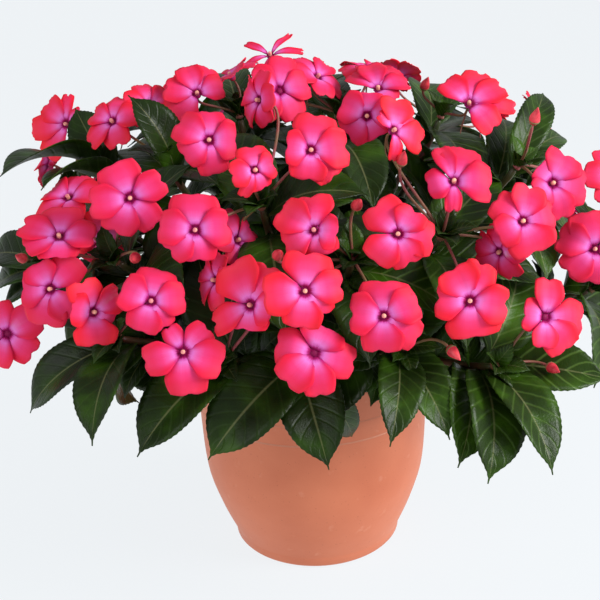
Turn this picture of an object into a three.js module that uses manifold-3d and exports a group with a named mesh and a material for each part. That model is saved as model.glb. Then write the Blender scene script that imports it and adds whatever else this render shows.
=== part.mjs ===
// A New Guinea impatiens in full bloom, growing in a terracotta-coloured plastic pot.
// Millimetres, +Z up. The origin is the centre of the pot's flat base, and the front is towards -Y.
import * as THREE from "three";
import { mergeVertices } from "three/addons/utils/BufferGeometryUtils.js";
import Module from "manifold-3d";

const wasm = await Module();
wasm.setup();

// Driving dimensions of the pot: radius and height where its outside changes slope, from the base up.
const POT = {
  base: [84.5, 0],
  foot: [87.5, 4],
  footTop: [88.5, 12],
  belly: [102, 45],
  fold: [113.5, 86],
  band: [118, 160],
  rim: [123, 206],
  top: [122, 214],
};
const POT_WALL = 4;
const POT_FLOOR = 8;
const POT_SIDES = 22;
const DRAIN = { count: 3, radius: 6, ring: 58, sides: 5 };

// The potting soil, with a plain hole for each stem.
const SOIL_TOP = 190;
const SOIL_CROWN = 6;
const HOLE_ROOM = 0.9;
const GAP = 0.4;

// The crown is the rounded box that the flowers' faces lie on: its centre, half-widths and squareness.
const CROWN = { middle: new THREE.Vector3(0, 0, 250), half: [292, 262, 240], squareness: 2.7 };

// Stems, leaves and flowers.
const STEM = { radius: 4.6, sides: 3, steps: 3, foot: 165, ring: 78, straight: 70, lead: 70, rise: 0.35 };
const BUDS_SEAT = { bottom: 4.8, top: 3.2, height: 7, sides: 3, sprout: 4.2 };
const LEAF = { length: 112, thick: 0.8, fold: 0.3, arch: 0.2, wave: 1.6, lookUp: 0.8 };
// A leaf's corners stand at shares of its length, fewer of them where it is hidden. Leaves spring from
// levels below the stem's tip: an outer whorl close to it, and an inner one further down.
const LEAF_ROWS = { shown: [0, 0.34, 0.7, 1], plain: [0, 0.45, 1] };
const LEAF_ROOTS = { outer: { below: 14, apart: 9, count: 4 }, inner: { below: 60, apart: 22, count: 3 } };
const LEAF_ROOM = 1;
const SHORT_LEAF = 0.85;
const FLOWER = { thick: 0.7, lift: 2.4, cup: 3, throat: 6.5, back: 7, column: 4.5 };
const STALK = { radius: 1.6, sides: 3, steps: 2, lead: 32, mostLead: 0.45, rise: 0.3 };
const BUD = { radius: 5, back: 7, neck: 4, tip: 11, sides: 4 };
const BUD_SHARE = 0.96;

// How near to its root a piece may meet another of its own node, and what is tried to find it room:
// shifts of a flower along its sight line, the nearest stems for its stalk, depths of a leaf's tip as
// shares of its length, arches as shares of the usual one, and turns round the stem in degrees.
const MEETING = 13;
const SHIFTS = [0, 8, -8, 16, -16, 24, -24, 34, 44, 54, 66];
const NEAREST_STEMS = 4;
const LEAF_DEPTHS = [1, 0.8, 0.6, -1, -0.8, 0.4, -0.6, 0.2];
const LEAF_ARCHES = [1, 0.5, 1.5];
const LEAF_TURN = { golden: 137.5, nudge: 7, count: 26, droop: 0.25 };
const LEAF_RISE = [0.1, 0.35];
const LEAF_LENGTHS = [0.8, 1];
const LEAF_WIDTHS = [40, 52];

// The eye that the flowers were placed for: where it stands, how far it looks down, how it leans,
// its focal length in picture units, and the middle of its 600 by 600 picture. The plant lies between
// the two distances, which are searched in strides.
const EYE = { at: new THREE.Vector3(-9, -1020, 656), down: 21.2, lean: 2.4, focal: 1085, middle: 300 };
const SIGHT = { from: 600, to: 1500, stride: 2 };

// Flowers that show from the front: where the throat is seen in the picture, the size across in mm,
// how far the face turns to the right and up (1 is edge-on), and how far its top petal is turned. One
// that stands behind others has a share: how deep it lies, as a share of the crown.
const FRONT_FLOWERS = [
  { seen: [182, 353], across: 64, turn: [0.0, 0.05], spin: 180 },
  { seen: [313, 352], across: 68, turn: [0.05, 0.0], spin: 10 },
  { seen: [383, 316], across: 58, turn: [0.0, 0.1], spin: 0 },
  { seen: [470, 301], across: 62, turn: [0.05, 0.05], spin: -30 },
  { seen: [554, 315], across: 62, turn: [0.45, 0.05], spin: 40 },
  { seen: [305, 292], across: 65, turn: [0.1, 0.0], spin: 20 },
  { seen: [240, 294], across: 62, turn: [-0.45, 0.1], spin: -20 },
  { seen: [151, 301], across: 56, turn: [0.0, 0.1], spin: 0 },
  { seen: [92, 315], across: 52, turn: [0.4, -0.1], spin: 30 },
  { seen: [52, 291], across: 60, turn: [-0.35, 0.0], spin: -15 },
  { seen: [7, 334], across: 64, turn: [-0.3, -0.1], spin: 15 },
  { seen: [399, 233], across: 57, turn: [0.05, 0.1], spin: 40 },
  { seen: [305, 225], across: 54, turn: [-0.2, 0.2], spin: -10 },
  { seen: [195, 230], across: 60, turn: [0.0, 0.05], spin: 5 },
  { seen: [130, 197], across: 64, turn: [0.0, 0.0], spin: 25 },
  { seen: [58, 230], across: 64, turn: [-0.1, 0.65], spin: -25 },
  { seen: [214, 280], across: 46, turn: [-0.8, 0.2], spin: 0, share: 0.95 },
  { seen: [524, 222], across: 55, turn: [0.3, 0.15], spin: 30 },
  { seen: [594, 247], across: 62, turn: [0.15, 0.1], spin: 0 },
  { seen: [553, 183], across: 62, turn: [0.4, 0.15], spin: 10 },
  { seen: [459, 173], across: 57, turn: [0.1, 0.5], spin: -10 },
  { seen: [317, 147], across: 56, turn: [0.1, 0.15], spin: 15 },
  { seen: [252, 170], across: 42, turn: [0.3, 0.1], spin: 0 },
  { seen: [210, 139], across: 58, turn: [0.05, 0.2], spin: 20 },
  { seen: [280, 90], across: 62, turn: [0.3, 0.3], spin: -15 },
  { seen: [368, 115], across: 56, turn: [0.0, 0.0], spin: 0 },
  { seen: [408, 122], across: 50, turn: [0.5, 0.3], spin: 20 },
  { seen: [380, 78], across: 56, turn: [0.05, 0.7], spin: 0 },
  { seen: [481, 97], across: 70, turn: [0.15, 0.6], spin: 10 },
  { seen: [194, 92], across: 58, turn: [0.05, 0.4], spin: -10 },
  { seen: [112, 121], across: 56, turn: [-0.45, 0.5], spin: 0 },
  { seen: [55, 126], across: 66, turn: [-0.55, 0.1], spin: 0 },
  { seen: [270, 50], across: 62, turn: [-0.1, 0.75], spin: 0 },
  { seen: [318, 76], across: 56, turn: [0.55, 0.7], spin: 0 },
  { seen: [258, 100], across: 52, turn: [-0.8, 0.1], spin: 0 },
  { seen: [68, 197], across: 60, turn: [-0.3, 0.75], spin: 0, share: 0.95 },
  { seen: [103, 238], across: 54, turn: [0.3, -0.3], spin: 0, share: 0.86 },
  { seen: [238, 240], across: 52, turn: [0.7, 0.2], spin: 0, share: 0.9 },
  { seen: [150, 104], across: 50, turn: [0.3, 0.5], spin: 0 },
  { seen: [499, 252], across: 50, turn: [-0.5, -0.3], spin: 0, share: 0.86 },
  { seen: [612, 178], across: 58, turn: [0.6, 0.3], spin: 0 },
];

// Buds that show from the front. One that stands before a leaf has a share, as a flower has.
const FRONT_BUDS = [
  { seen: [453, 352], turn: [0.55, -0.6] },
  { seen: [552, 368], turn: [0.6, -0.3] },
  { seen: [530, 387], turn: [0.4, -0.6] },
  { seen: [22, 258], turn: [-0.5, 0.3] },
  { seen: [135, 258], turn: [-0.2, -0.2] },
  { seen: [278, 255], turn: [0.2, 0.3] },
  { seen: [357, 205], turn: [0.3, 0.4] },
  { seen: [402, 160], turn: [0.2, 0.7] },
  { seen: [425, 85], turn: [0.3, 0.7] },
  { seen: [535, 118], turn: [0.2, 0.8], share: 1.1 },
];

// Flowers round the back and on top, in rows: their height and how many, spread over the bearings from
// the first one to its mirror image. A bearing is measured from the front, anticlockwise from above.
const BACK_FLOWERS = [
  { height: 14, count: 6, first: 104 },
  { height: 33, count: 6, first: 98 },
  { height: 47, count: 3, first: 146 },
  { height: 77, count: 3, first: 90 },
];
const BACK_ACROSS = [52, 60];
const BACK_SPREAD = { bearing: 8, height: 10, tilt: 0.5 };

// Leafy stems: where the tip is seen from the front and how deep it lies, as a share of the crown.
// Of the leaves that show, it gives where their tips are seen and their width in mm.
const FRONT_STEMS = [
  { seen: [120, 338], share: 0.86, leaves: [[30, 413, 40], [92, 446, 40], [139, 403, 36], [86, 412, 44]] },
  { seen: [225, 362], share: 0.78, leaves: [[137, 457, 46], [128, 380, 44]] },
  { seen: [296, 362], share: 0.76, leaves: [[208, 460, 52], [329, 470, 48], [352, 437, 26]] },
  { seen: [402, 350], share: 0.8, leaves: [[390, 447, 34], [450, 440, 38], [421, 412, 38]] },
  {
    seen: [493, 366], share: 0.86,
    leaves: [[553, 475, 42], [488, 484, 50], [612, 380, 48], [458, 468, 44], [516, 262, 46]],
  },
  { seen: [48, 262], share: 0.88, leaves: [[-12, 262, 38], [-8, 298, 44]] },
  { seen: [98, 163], share: 0.88, leaves: [[-2, 178, 54], [75, 108, 40], [41, 190, 36]] },
  { seen: [168, 165], share: 0.82, leaves: [[128, 95, 40], [220, 186, 40], [128, 150, 44]] },
  { seen: [240, 118], share: 0.84, leaves: [[226, 74, 36]] },
  { seen: [338, 118], share: 0.84, leaves: [[318, 90, 36], [374, 212, 44]] },
  { seen: [440, 118], share: 0.86, leaves: [[466, 205, 44], [417, 84, 40]] },
  {
    seen: [516, 168], share: 0.88,
    leaves: [[543, 93, 28], [563, 137, 30], [500, 118, 40], [547, 284, 46]],
  },
  {
    seen: [590, 290], share: 0.86,
    leaves: [[594, 388, 50], [610, 190, 40], [548, 215, 44], [640, 350, 46], [580, 200, 40]],
  },
  { seen: [262, 208], share: 0.8, leaves: [] },
  { seen: [440, 238], share: 0.8, leaves: [[545, 282, 44]] },
  { seen: [352, 262], share: 0.8, leaves: [] },
  { seen: [118, 262], share: 0.82, leaves: [] },
];
const BACK_STEMS = [
  [98, 28], [122, 12], [140, 40], [160, 14], [181, 34], [200, 12], [222, 38], [240, 14], [264, 30], [180, 68],
];
const BACK_SHARE = 0.86;
const LEAVES_PER_STEM = { outer: 4, front: 6, back: 5 };
const LOWEST_LEAF = 215;

const UP = new THREE.Vector3(0, 0, 1);
const degrees = THREE.MathUtils.degToRad;
const vector = (x, y, z) => new THREE.Vector3(x, y, z);

// A fixed draw between 0 and 1 for a pair of whole numbers, the same each time.
function draw(a, b) {
  const s = Math.sin(a * 12.9898 + b * 78.233) * 43758.5453;
  return s - Math.floor(s);
}

function between([least, most], share) {
  return least + (most - least) * share;
}

// Sight lines from the eye.
function sightLine([x, y]) {
  const lean = degrees(EYE.lean);
  const down = degrees(EYE.down);
  const [dx, dy] = [x - EYE.middle, y - EYE.middle];
  const right = (dx * Math.cos(lean) - dy * Math.sin(lean)) / EYE.focal;
  const fall = (dx * Math.sin(lean) + dy * Math.cos(lean)) / EYE.focal;
  const line = vector(right, Math.cos(down), -Math.sin(down));
  return line.addScaledVector(vector(0, Math.sin(down), Math.cos(down)), -fall).normalize();
}

// How far out a point lies: 1 on the crown's surface, less inside it.
function crownShare(point) {
  const p = point.clone().sub(CROWN.middle).toArray();
  const sum = p.reduce((s, v, i) => s + Math.abs(v / CROWN.half[i]) ** CROWN.squareness, 0);
  return sum ** (1 / CROWN.squareness);
}

// Where a sight line first meets the crown shrunk to a share, or passes nearest to its middle.
function meetCrown(seen, share) {
  const line = sightLine(seen);
  const at = (t) => EYE.at.clone().addScaledVector(line, t);
  let nearest = 0;
  for (let t = SIGHT.from; t < SIGHT.to; t += SIGHT.stride) {
    if (crownShare(at(t)) < share) return at(t);
    if (!nearest || crownShare(at(t)) < crownShare(at(nearest))) nearest = t;
  }
  return at(nearest);
}

// The direction that turns from the viewer to the right and up by the given shares.
function faceTurned(point, [right, up]) {
  const back = EYE.at.clone().sub(point).normalize();
  const side = UP.clone().cross(back).normalize();
  const rise = back.clone().cross(side);
  const ahead = Math.sqrt(Math.max(0, 1 - right * right - up * up));
  return side.multiplyScalar(right).addScaledVector(rise, up).addScaledVector(back, ahead).normalize();
}

// The way out of the crown at a point.
function outwards(point) {
  return point.clone().sub(CROWN.middle).divide(vector(...CROWN.half)).normalize();
}

function crownPoint(bearing, height, share) {
  const [b, h] = [degrees(bearing), degrees(height)];
  const way = vector(-Math.sin(b) * Math.cos(h), -Math.cos(b) * Math.cos(h), Math.sin(h));
  return CROWN.middle.clone().addScaledVector(way, share / crownShare(CROWN.middle.clone().add(way)));
}

// Geometry to solid and back. Corners that fall together are merged, and faces that collapse go.
function solidOf(geometry) {
  const bare = new THREE.BufferGeometry().setAttribute("position", geometry.getAttribute("position"));
  bare.setIndex(geometry.index);
  const merged = mergeVertices(bare, 1e-3);
  const corners = merged.index.array;
  const kept = [];
  for (let i = 0; i < corners.length; i += 3) {
    const [a, b, c] = corners.slice(i, i + 3);
    if (a !== b && b !== c && c !== a) kept.push(a, b, c);
  }
  const vertProperties = merged.getAttribute("position").array;
  return new wasm.Manifold(new wasm.Mesh({ numProp: 3, vertProperties, triVerts: new Uint32Array(kept) }));
}

// One solid from several. A hollow that joining has sealed is filled, and a loose scrap is dropped.
function join(parts) {
  const bodies = parts.reduce((all, part) => all.add(part)).decompose();
  return bodies.reduce((largest, body) => (body.volume() > largest.volume() ? body : largest));
}

function meshOf(name, solid, material) {
  const made = solid.getMesh();
  const geometry = new THREE.BufferGeometry();
  geometry.setAttribute("position", new THREE.BufferAttribute(new Float32Array(made.vertProperties), 3));
  geometry.setIndex(new THREE.BufferAttribute(new Uint32Array(made.triVerts), 1));
  geometry.computeVertexNormals();
  const mesh = new THREE.Mesh(geometry, material);
  mesh.name = name;
  return mesh;
}

function tube(path, radius, sides, steps) {
  const turns = Array.from({ length: sides }, (_, k) => (k * 2 * Math.PI) / sides);
  const ring = turns.map((turn) => new THREE.Vector2(radius * Math.cos(turn), radius * Math.sin(turn)));
  return solidOf(new THREE.ExtrudeGeometry(new THREE.Shape(ring), { extrudePath: path, steps }));
}

// A solid turned about the Z axis from radius and height pairs.
function turned(profile, sides) {
  const points = profile.map(([r, z]) => new THREE.Vector2(r, z));
  return new THREE.LatheGeometry(points, sides).rotateX(Math.PI / 2);
}

// The matrix that lays +Z along a direction and +Y near another, and moves the origin to a point.
function placing(origin, along, near) {
  const side = near.clone().cross(along).normalize();
  return new THREE.Matrix4().makeBasis(side, along.clone().cross(side), along).setPosition(origin);
}

// The inside of the pot's wall, from the rim down, drawn in by a gap for what fills it.
function potInside(gap) {
  const wall = [POT.top, POT.band, POT.fold, POT.belly].map(([r, z]) => [r - POT_WALL - gap, z]);
  return [...wall, [POT.foot[0] - POT_WALL - gap, POT_FLOOR + gap]];
}

function makePot() {
  let pot = solidOf(turned([[0, 0], ...Object.values(POT), ...potInside(0), [0, POT_FLOOR]], POT_SIDES));
  for (let k = 0; k < DRAIN.count; k++) {
    const hole = new THREE.CylinderGeometry(DRAIN.radius, DRAIN.radius, 3 * POT_FLOOR, DRAIN.sides);
    const turn = ((k + 0.5) * 2 * Math.PI) / DRAIN.count;
    hole.rotateX(Math.PI / 2).translate(DRAIN.ring * Math.cos(turn), DRAIN.ring * Math.sin(turn), 0);
    pot = pot.subtract(solidOf(hole));
  }
  return pot;
}

// The soil fills the pot to just below the rim, and rises a little to its middle.
function makeSoil(stems) {
  const [[rimRadius, rimHeight], [bandRadius, bandHeight]] = potInside(GAP);
  const share = (SOIL_TOP - bandHeight) / (rimHeight - bandHeight);
  const edge = [between([bandRadius, rimRadius], share), SOIL_TOP];
  const [, band, fold, , foot] = potInside(GAP);
  const profile = [[0, POT_FLOOR + GAP], foot, fold, band, edge, [0, SOIL_TOP + SOIL_CROWN]];
  let soil = solidOf(turned(profile, POT_SIDES));
  for (const { path } of stems) {
    const hole = tube(path, STEM.radius + HOLE_ROOM, STEM.sides, STEM.steps);
    soil = soil.subtract(hole.translate([0, 0, -GAP]));
  }
  return soil;
}

// Stems: each rises from its own hole in the soil and leans out to its tip. The further it leans, the
// nearer to the pot's wall it stands.
function planStem(tip, index) {
  const lean = Math.atan2(Math.hypot(tip.x, tip.y), tip.z - SOIL_TOP) / (Math.PI / 2);
  const foot = vector(tip.x, tip.y, 0).setLength(STEM.ring * Math.min(1, lean)).setZ(STEM.foot);
  const axis = outwards(tip).addScaledVector(UP, STEM.rise).normalize();
  const start = foot.clone().setZ(SOIL_TOP + STEM.straight);
  const end = tip.clone().addScaledVector(axis, -STEM.lead);
  const path = new THREE.CubicBezierCurve3(foot, start, end, tip);
  return { index, tip, axis, path, leafy: [], spray: [] };
}

// A thin closed blade from rows of three points, left edge, middle and right edge, or of one point at
// an end. Both faces are split into the same triangles, and a wall joins them round the edge.
function blade(rows, thick) {
  const starts = rows.map((_, r) => rows.slice(0, r).reduce((sum, row) => sum + row.points.length, 0));
  const corner = (r, side) => starts[r] + (rows[r].points.length === 1 ? 0 : side);
  const faces = [];
  for (let r = 0; r + 1 < rows.length; r++) {
    for (const side of [0, 1]) {
      const [a, b] = [corner(r, side), corner(r, side + 1)];
      const [d, c] = [corner(r + 1, side), corner(r + 1, side + 1)];
      if (a !== b) faces.push([a, b, c]);
      if (c !== d) faces.push([a, c, d]);
    }
  }
  const last = rows.length - 1;
  const right = rows.map((_, r) => corner(r, 2));
  const left = rows.map((_, r) => corner(r, 0)).reverse();
  const edge = [...right, corner(last, 1), ...left, corner(0, 1)];
  const loop = edge.filter((c, i) => c !== edge[(i + 1) % edge.length]);
  const count = starts.at(-1) + rows.at(-1).points.length;
  const index = faces.flatMap(([a, b, c]) => [a, b, c, c + count, b + count, a + count]);
  loop.forEach((a, i) => {
    const b = loop[(i + 1) % loop.length];
    index.push(a + count, b + count, b, a + count, b, a);
  });
  const raised = ({ points, up }, offset) => points.map((p) => p.clone().addScaledVector(up, offset));
  const sides = [thick / 2, -thick / 2].flatMap((offset) => rows.flatMap((row) => raised(row, offset)));
  return new THREE.BufferGeometry().setFromPoints(sides).setIndex(index);
}

// The five petals overlap in layers: which edges of each lie on top, right and left, going round from
// the top petal, which lies behind both of its neighbours. Sizes are shares of the flower's radius.
const PETAL_EDGES = [[-1, -1], [1, 1], [-1, 1], [-1, -1], [1, 1]];
const PETAL = { wide: 0.55, out: 0.64, lobe: 0.36, end: 0.985, notch: 0.89, droop: 0.6 };
const STALK_TURNS = [150, 270, 30].map(degrees);

// A flower and its stalk in one closed surface. The corolla has a low throat with the column in its
// middle, and on each of its five sides a heart-shaped petal, thinned out at the corners it shares.
function flowerSurface(flower, stem) {
  const near = UP.clone().applyAxisAngle(flower.face, degrees(flower.spin));
  const frame = placing(flower.at, flower.face, near);
  const radius = flower.across / 2;
  const points = [];
  const faces = [];
  const keepPoint = (point) => points.push(point) - 1;
  const add = (x, y, z, turn) => keepPoint(vector(x, y, z).applyAxisAngle(UP, turn).applyMatrix4(frame));
  const count = PETAL_EDGES.length;
  const step = (2 * Math.PI) / count;
  const column = add(0, 0, FLOWER.column, 0);
  const corners = PETAL_EDGES.map((_, k) => add(0, FLOWER.throat, 0, (k + 0.5) * step));
  PETAL_EDGES.forEach(([right, left], k) => {
    const layer = (x, y, side) => {
      const lift = (Math.abs(x) / PETAL.wide) * FLOWER.lift * (x > 0 ? right : left);
      const cup = FLOWER.cup * (Math.sin(Math.PI * y) - PETAL.droop * y);
      return add(x * radius, y * radius, lift + cup + side * FLOWER.thick, k * step);
    };
    const rim = (side) => [
      layer(PETAL.wide, PETAL.out, side),
      layer(PETAL.lobe, PETAL.end, side),
      layer(0, PETAL.notch, side),
      layer(-PETAL.lobe, PETAL.end, side),
      layer(-PETAL.wide, PETAL.out, side),
    ];
    const [cornerRight, cornerLeft] = [corners[(k + count - 1) % count], corners[k]];
    const root = add(0, FLOWER.throat * Math.cos(step / 2), FLOWER.thick / 2, k * step);
    const [front, back] = [rim(0.5), rim(-0.5)];
    const blades = ([wideRight, lobeRight, notch, lobeLeft, wideLeft]) => [
      [wideRight, lobeRight, notch], [wideRight, notch, wideLeft], [notch, lobeLeft, wideLeft],
    ];
    faces.push(...blades(front), ...blades(back).map((face) => face.reverse()));
    faces.push([column, cornerRight, root], [column, root, cornerLeft]);
    faces.push([root, cornerRight, front[0]], [root, front[0], front[4]], [root, front[4], cornerLeft]);
    faces.push([cornerRight, cornerLeft, back[4]], [cornerRight, back[4], back[0]]);
    faces.push([cornerRight, back[0], front[0]], [cornerLeft, front[4], back[4]]);
    for (let i = 0; i < 4; i++) {
      faces.push([back[i], back[i + 1], front[i + 1]], [back[i], front[i + 1], front[i]]);
    }
  });

  // The stalk: three-sided rings along a curve from the back of the throat to the stem's tip.
  const curve = stalkCurve(flower, stem, FLOWER.back);
  const rings = [];
  let side = vector(1, 0, 0).transformDirection(frame);
  for (let i = 0; i <= STALK.steps; i++) {
    const along = curve.getTangent(i / STALK.steps);
    side = side.addScaledVector(along, -side.dot(along)).normalize();
    const rise = side.clone().cross(along);
    rings.push(STALK_TURNS.map((turn) => {
      const spoke = side.clone().multiplyScalar(Math.cos(turn)).addScaledVector(rise, Math.sin(turn));
      return keepPoint(curve.getPoint(i / STALK.steps).addScaledVector(spoke, STALK.radius));
    }));
  }
  const [top, left, right] = rings[0];
  faces.push([corners[0], right, top], [corners[2], top, left], [corners[3], left, right]);
  faces.push([corners[1], corners[0], top], [corners[2], corners[1], top], [corners[3], corners[2], left]);
  faces.push([corners[4], corners[3], right], [corners[0], corners[4], right]);
  for (let i = 0; i < STALK.steps; i++) {
    for (const k of [0, 1, 2]) {
      const [a, b, c, d] = [rings[i][k], rings[i][(k + 1) % 3], rings[i + 1][(k + 1) % 3], rings[i + 1][k]];
      faces.push([a, c, b], [a, d, c]);
    }
  }
  faces.push(rings.at(-1).reverse());
  return solidOf(new THREE.BufferGeometry().setFromPoints(points).setIndex(faces.flat()));
}

// A bud: a pointed four-sided spindle, on a stalk of its own.
function bud(at, face, stem) {
  const spindle = turned([[0, -BUD.back], [BUD.radius, 0], [0, BUD.tip]], BUD.sides);
  const stalk = tube(stalkCurve({ at, face }, stem, BUD.neck), STALK.radius, STALK.sides, STALK.steps);
  return solidOf(spindle.applyMatrix4(placing(at, face, vector(0.3, 0.2, 1)))).add(stalk);
}

// A stalk's curve, from a distance behind its flower's face to the seat on the stem's tip.
function stalkCurve(flower, stem, behind) {
  const back = flower.at.clone().addScaledVector(flower.face, -behind);
  const seat = stem.tip.clone().addScaledVector(stem.axis, BUDS_SEAT.sprout);
  const lead = Math.min(STALK.lead, back.distanceTo(seat) * STALK.mostLead);
  const leave = back.clone().addScaledVector(flower.face, -lead);
  const start = leave.clone().sub(seat).normalize().addScaledVector(stem.axis, STALK.rise);
  return new THREE.CubicBezierCurve3(back, leave, start.setLength(lead).add(seat), seat);
}

// The seat on a stem's tip, where the stalks of its spray spring from.
function budsSeat(stem) {
  const seat = new THREE.CylinderGeometry(BUDS_SEAT.top, BUDS_SEAT.bottom, BUDS_SEAT.height, BUDS_SEAT.sides);
  seat.rotateX(Math.PI / 2).translate(0, 0, BUDS_SEAT.height / 2 + GAP);
  return solidOf(seat.applyMatrix4(placing(stem.tip, stem.axis, vector(0.3, 1, 0.2))));
}

// A leaf's midrib, which rises from the stem and arches over to the tip, and the way its face looks.
function leafLine(root, tip, face, arch) {
  const chord = tip.clone().sub(root);
  const flat = face.clone().addScaledVector(chord, -face.dot(chord) / chord.lengthSq()).normalize();
  const bulge = flat.clone().multiplyScalar(chord.length() * arch);
  const first = root.clone().addScaledVector(chord, 0.35).addScaledVector(bulge, 1.3);
  const last = root.clone().addScaledVector(chord, 0.75).addScaledVector(bulge, 0.9);
  return { curve: new THREE.CubicBezierCurve3(root, first, last, tip), flat };
}

// Half the leaf's width at a share of its length: widest before the middle, with a drawn-out tip.
function leafHalf(s, width) {
  return (width / 2) * Math.sin(Math.PI * s ** 0.85) ** 0.9;
}

function leaf(line, width, thick, swing, steps) {
  const rows = steps.map((s) => {
    const along = line.curve.getTangent(THREE.MathUtils.clamp(s, 0.001, 0.999));
    const side = along.clone().cross(line.flat).normalize();
    const up = side.clone().cross(along).normalize();
    const middle = line.curve.getPoint(s);
    if (s === 0 || s === 1) return { points: [middle], up };
    const half = leafHalf(s, width);
    const edge = (way) => {
      const wave = LEAF.wave * Math.sin(9 * s + swing + 2 * way);
      return middle.clone().addScaledVector(side, way * half).addScaledVector(up, half * LEAF.fold + wave);
    };
    return { points: [edge(-1), middle, edge(1)], up };
  });
  return solidOf(blade(rows, thick));
}

// Growing room. A new piece is tested against those already grown, and tried elsewhere until it is clear
// of them. Pieces of one node may only meet near the point that they spring from.
const grown = [];

function nearRoot(common, root) {
  const { min, max } = common.boundingBox();
  return root.distanceTo(vector(...min)) < MEETING && root.distanceTo(vector(...max)) < MEETING;
}

function clear(solid, node, root) {
  const box = solid.boundingBox();
  return grown.every((other) => {
    if ([0, 1, 2].some((i) => box.min[i] > other.box.max[i] || box.max[i] < other.box.min[i])) return true;
    const common = solid.intersect(other.solid);
    return common.isEmpty() || (other.node === node && nearRoot(common, root));
  });
}

function grow(solid, node) {
  grown.push({ node, solid, box: solid.boundingBox() });
  node.push(solid);
}

const pot = makePot();
grow(pot, []);

// Stems first. Each has a green node, for itself and its leaves, and a pink one, for its spray.
const tips = [
  ...FRONT_STEMS.map(({ seen, share }) => meetCrown(seen, share)),
  ...BACK_STEMS.map(([bearing, height]) => crownPoint(bearing, height, BACK_SHARE)),
];
const stems = tips.map(planStem);
stems.forEach((stem) => {
  grow(tube(stem.path, STEM.radius, STEM.sides, STEM.steps), stem.leafy);
  grow(budsSeat(stem), stem.spray);
});

// Flowers, first those that show from the front. Each keeps its place in the picture when it is shifted
// along its sight line to find room.
const flowers = FRONT_FLOWERS.map(({ seen, across, turn, spin, share }) => {
  const at = meetCrown(seen, share ?? 1);
  return { at, face: faceTurned(at, turn), shift: sightLine(seen), across, spin };
});
BACK_FLOWERS.forEach(({ height, count, first }, row) => {
  for (let k = 0; k < count; k++) {
    const even = first + ((360 - 2 * first) * k) / (count - 1);
    const bearing = even + BACK_SPREAD.bearing * (draw(row, k) - 0.5);
    const at = crownPoint(bearing, height + BACK_SPREAD.height * (draw(k, row) - 0.5), 1);
    const out = outwards(at);
    const tilt = vector(draw(row, k + 20) - 0.5, draw(row, k + 40) - 0.5, draw(row, k + 60) - 0.5);
    const face = out.clone().addScaledVector(tilt, BACK_SPREAD.tilt).normalize();
    const across = between(BACK_ACROSS, draw(row, k + 80));
    flowers.push({ at, face, shift: out.negate(), across, spin: 360 * draw(row, k + 90) });
  }
});

function growOnStalk(places, makeSurface) {
  for (const at of places) {
    const byDistance = [...stems].sort((a, b) => at.distanceTo(a.tip) - at.distanceTo(b.tip));
    for (const stem of byDistance.slice(0, NEAREST_STEMS)) {
      const solid = makeSurface(at, stem);
      if (!clear(solid, stem.spray, stem.tip)) continue;
      grow(solid, stem.spray);
      return;
    }
  }
  throw new Error("no room for a flower or bud");
}

for (const flower of flowers) {
  const places = SHIFTS.map((shift) => flower.at.clone().addScaledVector(flower.shift, shift));
  growOnStalk(places, (at, stem) => flowerSurface({ ...flower, at }, stem));
}
for (const { seen, turn, share } of FRONT_BUDS) {
  const base = meetCrown(seen, share ?? BUD_SHARE);
  const places = SHIFTS.map((shift) => base.clone().addScaledVector(sightLine(seen), shift));
  growOnStalk(places, (at, stem) => bud(at, faceTurned(at, turn), stem));
}

// Leaves, first those that show, by where their tips are seen, then the rest by rule round each stem.
function leafTips(stem, root, target, k) {
  if (target) {
    const line = sightLine(target);
    const foot = EYE.at.clone().addScaledVector(line, root.clone().sub(EYE.at).dot(line));
    return LEAF_LENGTHS.toReversed().flatMap((long) => {
      const depth = Math.sqrt(Math.max(0, (long * LEAF.length) ** 2 - foot.distanceToSquared(root)));
      return LEAF_DEPTHS.map((share) => foot.clone().addScaledVector(line, -depth * share));
    });
  }
  const side = stem.axis.clone().cross(vector(0.37, 0.2, 0.9)).normalize();
  return Array.from({ length: LEAF_TURN.count }, (_, n) => {
    const nudge = (n % 2 ? 1 : -1) * LEAF_TURN.nudge * Math.ceil(n / 2);
    const turn = k * LEAF_TURN.golden + 360 * draw(stem.index, 7) + nudge;
    const way = side.clone().applyAxisAngle(stem.axis, degrees(turn));
    way.addScaledVector(stem.axis, between(LEAF_RISE, draw(stem.index, k))).normalize();
    way.addScaledVector(UP, -LEAF_TURN.droop * (n % 3)).normalize();
    return root.clone().addScaledVector(way, LEAF.length * between(LEAF_LENGTHS, draw(k, stem.index)));
  });
}

function* leafTries(stem, target, k, roots) {
  const length = stem.path.getLength();
  for (let lower = 0; lower < roots.count; lower++) {
    const below = roots.below + roots.apart * ((k + lower) % roots.count);
    const root = stem.path.getPointAt(1 - below / length);
    for (const share of LEAF_ARCHES) {
      for (const tip of leafTips(stem, root, target, k)) {
        if (target || tip.z > LOWEST_LEAF) yield { root, tip, arch: share * LEAF.arch };
      }
    }
  }
}

function growLeaf(stem, target, k, roots) {
  const steps = target ? LEAF_ROWS.shown : LEAF_ROWS.plain;
  for (const { root, tip, arch } of leafTries(stem, target, k, roots)) {
    const line = leafLine(root, tip, outwards(root).addScaledVector(UP, LEAF.lookUp).normalize(), arch);
    const full = target?.[2] ?? between(LEAF_WIDTHS, draw(stem.index, k + 30));
    const width = full * Math.min(1, tip.distanceTo(root) / (LEAF.length * SHORT_LEAF));
    if (!clear(leaf(line, width, LEAF.thick + LEAF_ROOM, k, steps), stem.leafy, root)) continue;
    grow(leaf(line, width, LEAF.thick, k, steps), stem.leafy);
    return;
  }
}

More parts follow.
